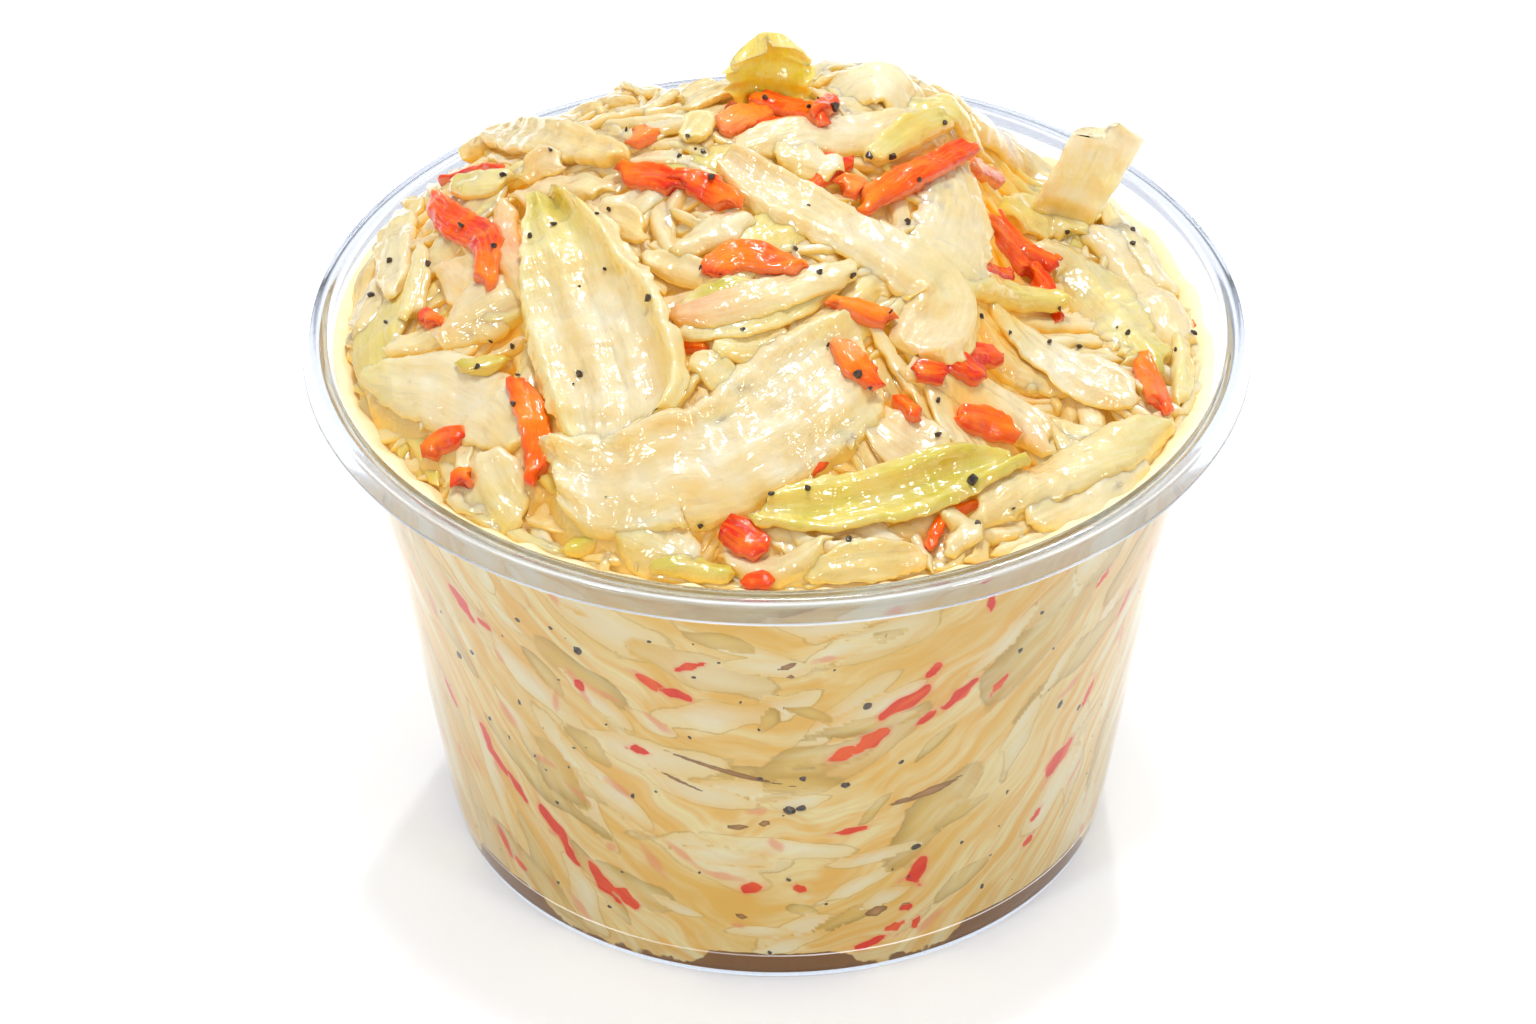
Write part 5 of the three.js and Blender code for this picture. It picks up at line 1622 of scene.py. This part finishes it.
# Thin clear plastic: it darkens where it is looked at along the sheet, partly by its own absorption and partly by a
# painted darker bluish tone, and its flange is painted greyer; the painted shade stands for the dark lines that
# refraction draws in the rim. Light passes it without a caustic.
def clearPlastic():
    material, tree = newMaterial("clearPlastic")
    bright, radius, height = gatheredLight(tree)
    rim = ramp(tree, height, 54.8, 57.0, 1.0, 0.94)  # the rim is thicker and looks milkier
    # painted shade: a darker bluish tone where the sheet is seen edge-on, and a greyer flange
    edgeOn = ramp(tree, nodeIn(tree, "ShaderNodeLayerWeight", values={"Blend": 0.5}).outputs["Facing"], 0.72, 0.98)
    edgeOn = maths(tree, "MULTIPLY", edgeOn, ramp(tree, radius, 47.0, 47.6, 0.1, 1.0))
    tone = mixColour(tree, ramp(tree, radius, 45.9, 46.4), (0.93, 0.945, 0.965), (0.75, 0.77, 0.82))
    # painted highlight: the gathered rings let less light through and glow white
    shader = nodeIn(tree, "ShaderNodeBsdfPrincipled", values={
        "Base Color": mixColour(tree, edgeOn, tone, (0.38, 0.44, 0.54)),
        "Roughness": 0.0,
        "IOR": 1.42,
        "Transmission Weight": maths(tree, "MULTIPLY", rim, maths(tree, "SUBTRACT", 1.0, maths(tree, "MULTIPLY", bright, 0.5))),
        "Emission Color": (1, 1, 1, 1),
        "Emission Strength": maths(tree, "MULTIPLY", bright, 0.4),
    })
    material.cycles.emission_sampling = "NONE"
    see = nodeIn(tree, "ShaderNodeBsdfTransparent", values={"Color": (0.96, 0.965, 0.97, 1)})
    path = nodeIn(tree, "ShaderNodeLightPath")
    mix = nodeIn(tree, "ShaderNodeMixShader", values={0: path.outputs["Is Shadow Ray"], 1: shader.outputs[0], 2: see.outputs[0]})
    body = nodeIn(tree, "ShaderNodeVolumeAbsorption", values={"Color": (0.4, 0.47, 0.58, 1), "Density": 150.0})
    out = nodeIn(tree, "ShaderNodeOutputMaterial")
    tree.links.new(mix.outputs[0], out.inputs[0])
    tree.links.new(body.outputs[0], out.inputs["Volume"])
    return material


studio = {
    "floorSize": 6.0,
    "floorGlow": 0.3,
    "overheadPower": 5.8,
    "overheadSize": 0.22,
    "sparkPower": 2.2,  # a small light low behind, for the glints on the wet dressing
    "sparkSize": 0.07,
    "overheadHeight": 1.1,
    "fillPower": 2.9,
    "fillSize": 0.2,
    "skyTop": 0.38,
    "skyLow": 0.66,
    "horizon": 0.1,  # a dark strip low down, which draws the lines in the clear rim
    "exposure": 0.12,
}


def studioFloor():
    size = studio["floorSize"] / 2 / mm
    floor = makeObject("floor", [(-size, -size, 0), (size, -size, 0), (size, size, 0), (-size, size, 0)], [(0, 1, 2, 3)], [])
    material, tree = newMaterial("paleFloor")
    finishMaterial(material, tree, {
        "Base Color": (0.92, 0.955, 1.0, 1),
        "Roughness": 0.7,
        "Specular IOR Level": 0.2,
        "Emission Color": (1, 1, 1, 1),
        "Emission Strength": studio["floorGlow"],
    })
    floor.data.materials.append(material)


def addLight(name, place, power, size, target=(0, 0, 0.03), shape="DISK"):
    data = bpy.data.lights.new(name, "AREA")
    data.energy = power
    data.shape = shape
    data.size = size
    thing = bpy.data.objects.new(name, data)
    bpy.context.scene.collection.objects.link(thing)
    thing.location = place
    thing.rotation_euler = (Vector(target) - Vector(place)).to_track_quat("-Z", "Y").to_euler()


def lightStudio():
    world = bpy.data.worlds.new("studio")
    bpy.context.scene.world = world
    world.use_nodes = True
    tree = world.node_tree
    tree.nodes.clear()
    up = nodeIn(tree, "ShaderNodeSeparateXYZ", values={0: nodeIn(tree, "ShaderNodeTexCoord").outputs["Generated"]}).outputs[2]
    strength = ramp(tree, up, 0.2, 0.6, studio["skyLow"], studio["skyTop"])
    strength = maths(tree, "MULTIPLY", strength, ramp(tree, up, 0.05, 0.12, studio["horizon"], 1.0))
    tone = mixColour(tree, ramp(tree, up, 0.0, 0.5), srgb(214, 222, 240), srgb(255, 255, 255))
    back = nodeIn(tree, "ShaderNodeBackground", values={0: tone, 1: strength})
    out = nodeIn(tree, "ShaderNodeOutputWorld")
    tree.links.new(back.outputs[0], out.inputs[0])
    addLight("overhead", (0.04, 0.09, studio["overheadHeight"]), studio["overheadPower"], studio["overheadSize"])
    addLight("spark", (0.12, 0.72, 0.78), studio["sparkPower"], studio["sparkSize"])
    addLight("leftFill", (-0.75, -0.85, 0.75), studio["fillPower"], studio["fillSize"])
    addLight("rightFill", (0.8, -0.8, 0.6), studio["fillPower"] * 0.7, studio["fillSize"])
    bpy.context.scene.view_settings.view_transform = "Standard"
    bpy.context.scene.view_settings.exposure = studio["exposure"]


addCamera()
studioFloor()
lightStudio()
print("studio ready")


def dress(thing, node):
    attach(thing, "root")
    if node:
        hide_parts(node)


def looseObject(name, shapes, material):
    verts, quads, tris, colour, lay, edge = joined(shapes)
    values = {"tint": colour, "lay": lay, "rim": edge[:, 0], "buried": buriedDepth(verts) * 0.8}
    thing = makeObject(name, verts, quads, tris, values, material)
    keepSteepness(thing)
    print(name, len(quads) * 2 + len(tris), "triangles")
    return thing


print("fusing the packed shreds")
dress(fuseHeap(dressedCabbage(False)), "slaw")
print("pressing the side")
dress(pressSlaw(pressedMix()), "slaw")
dress(looseObject("cabbageLeaves", allPieces["leaves"], dressedCabbage(True)), "slaw")
dress(looseObject("carrotShreds", allPieces["carrots"], dressedCarrot()), "slaw")
dress(scatterPepper(blackPepper()), "slaw")
print("turning the cup")
dress(turnCup(clearPlastic()), "cup")
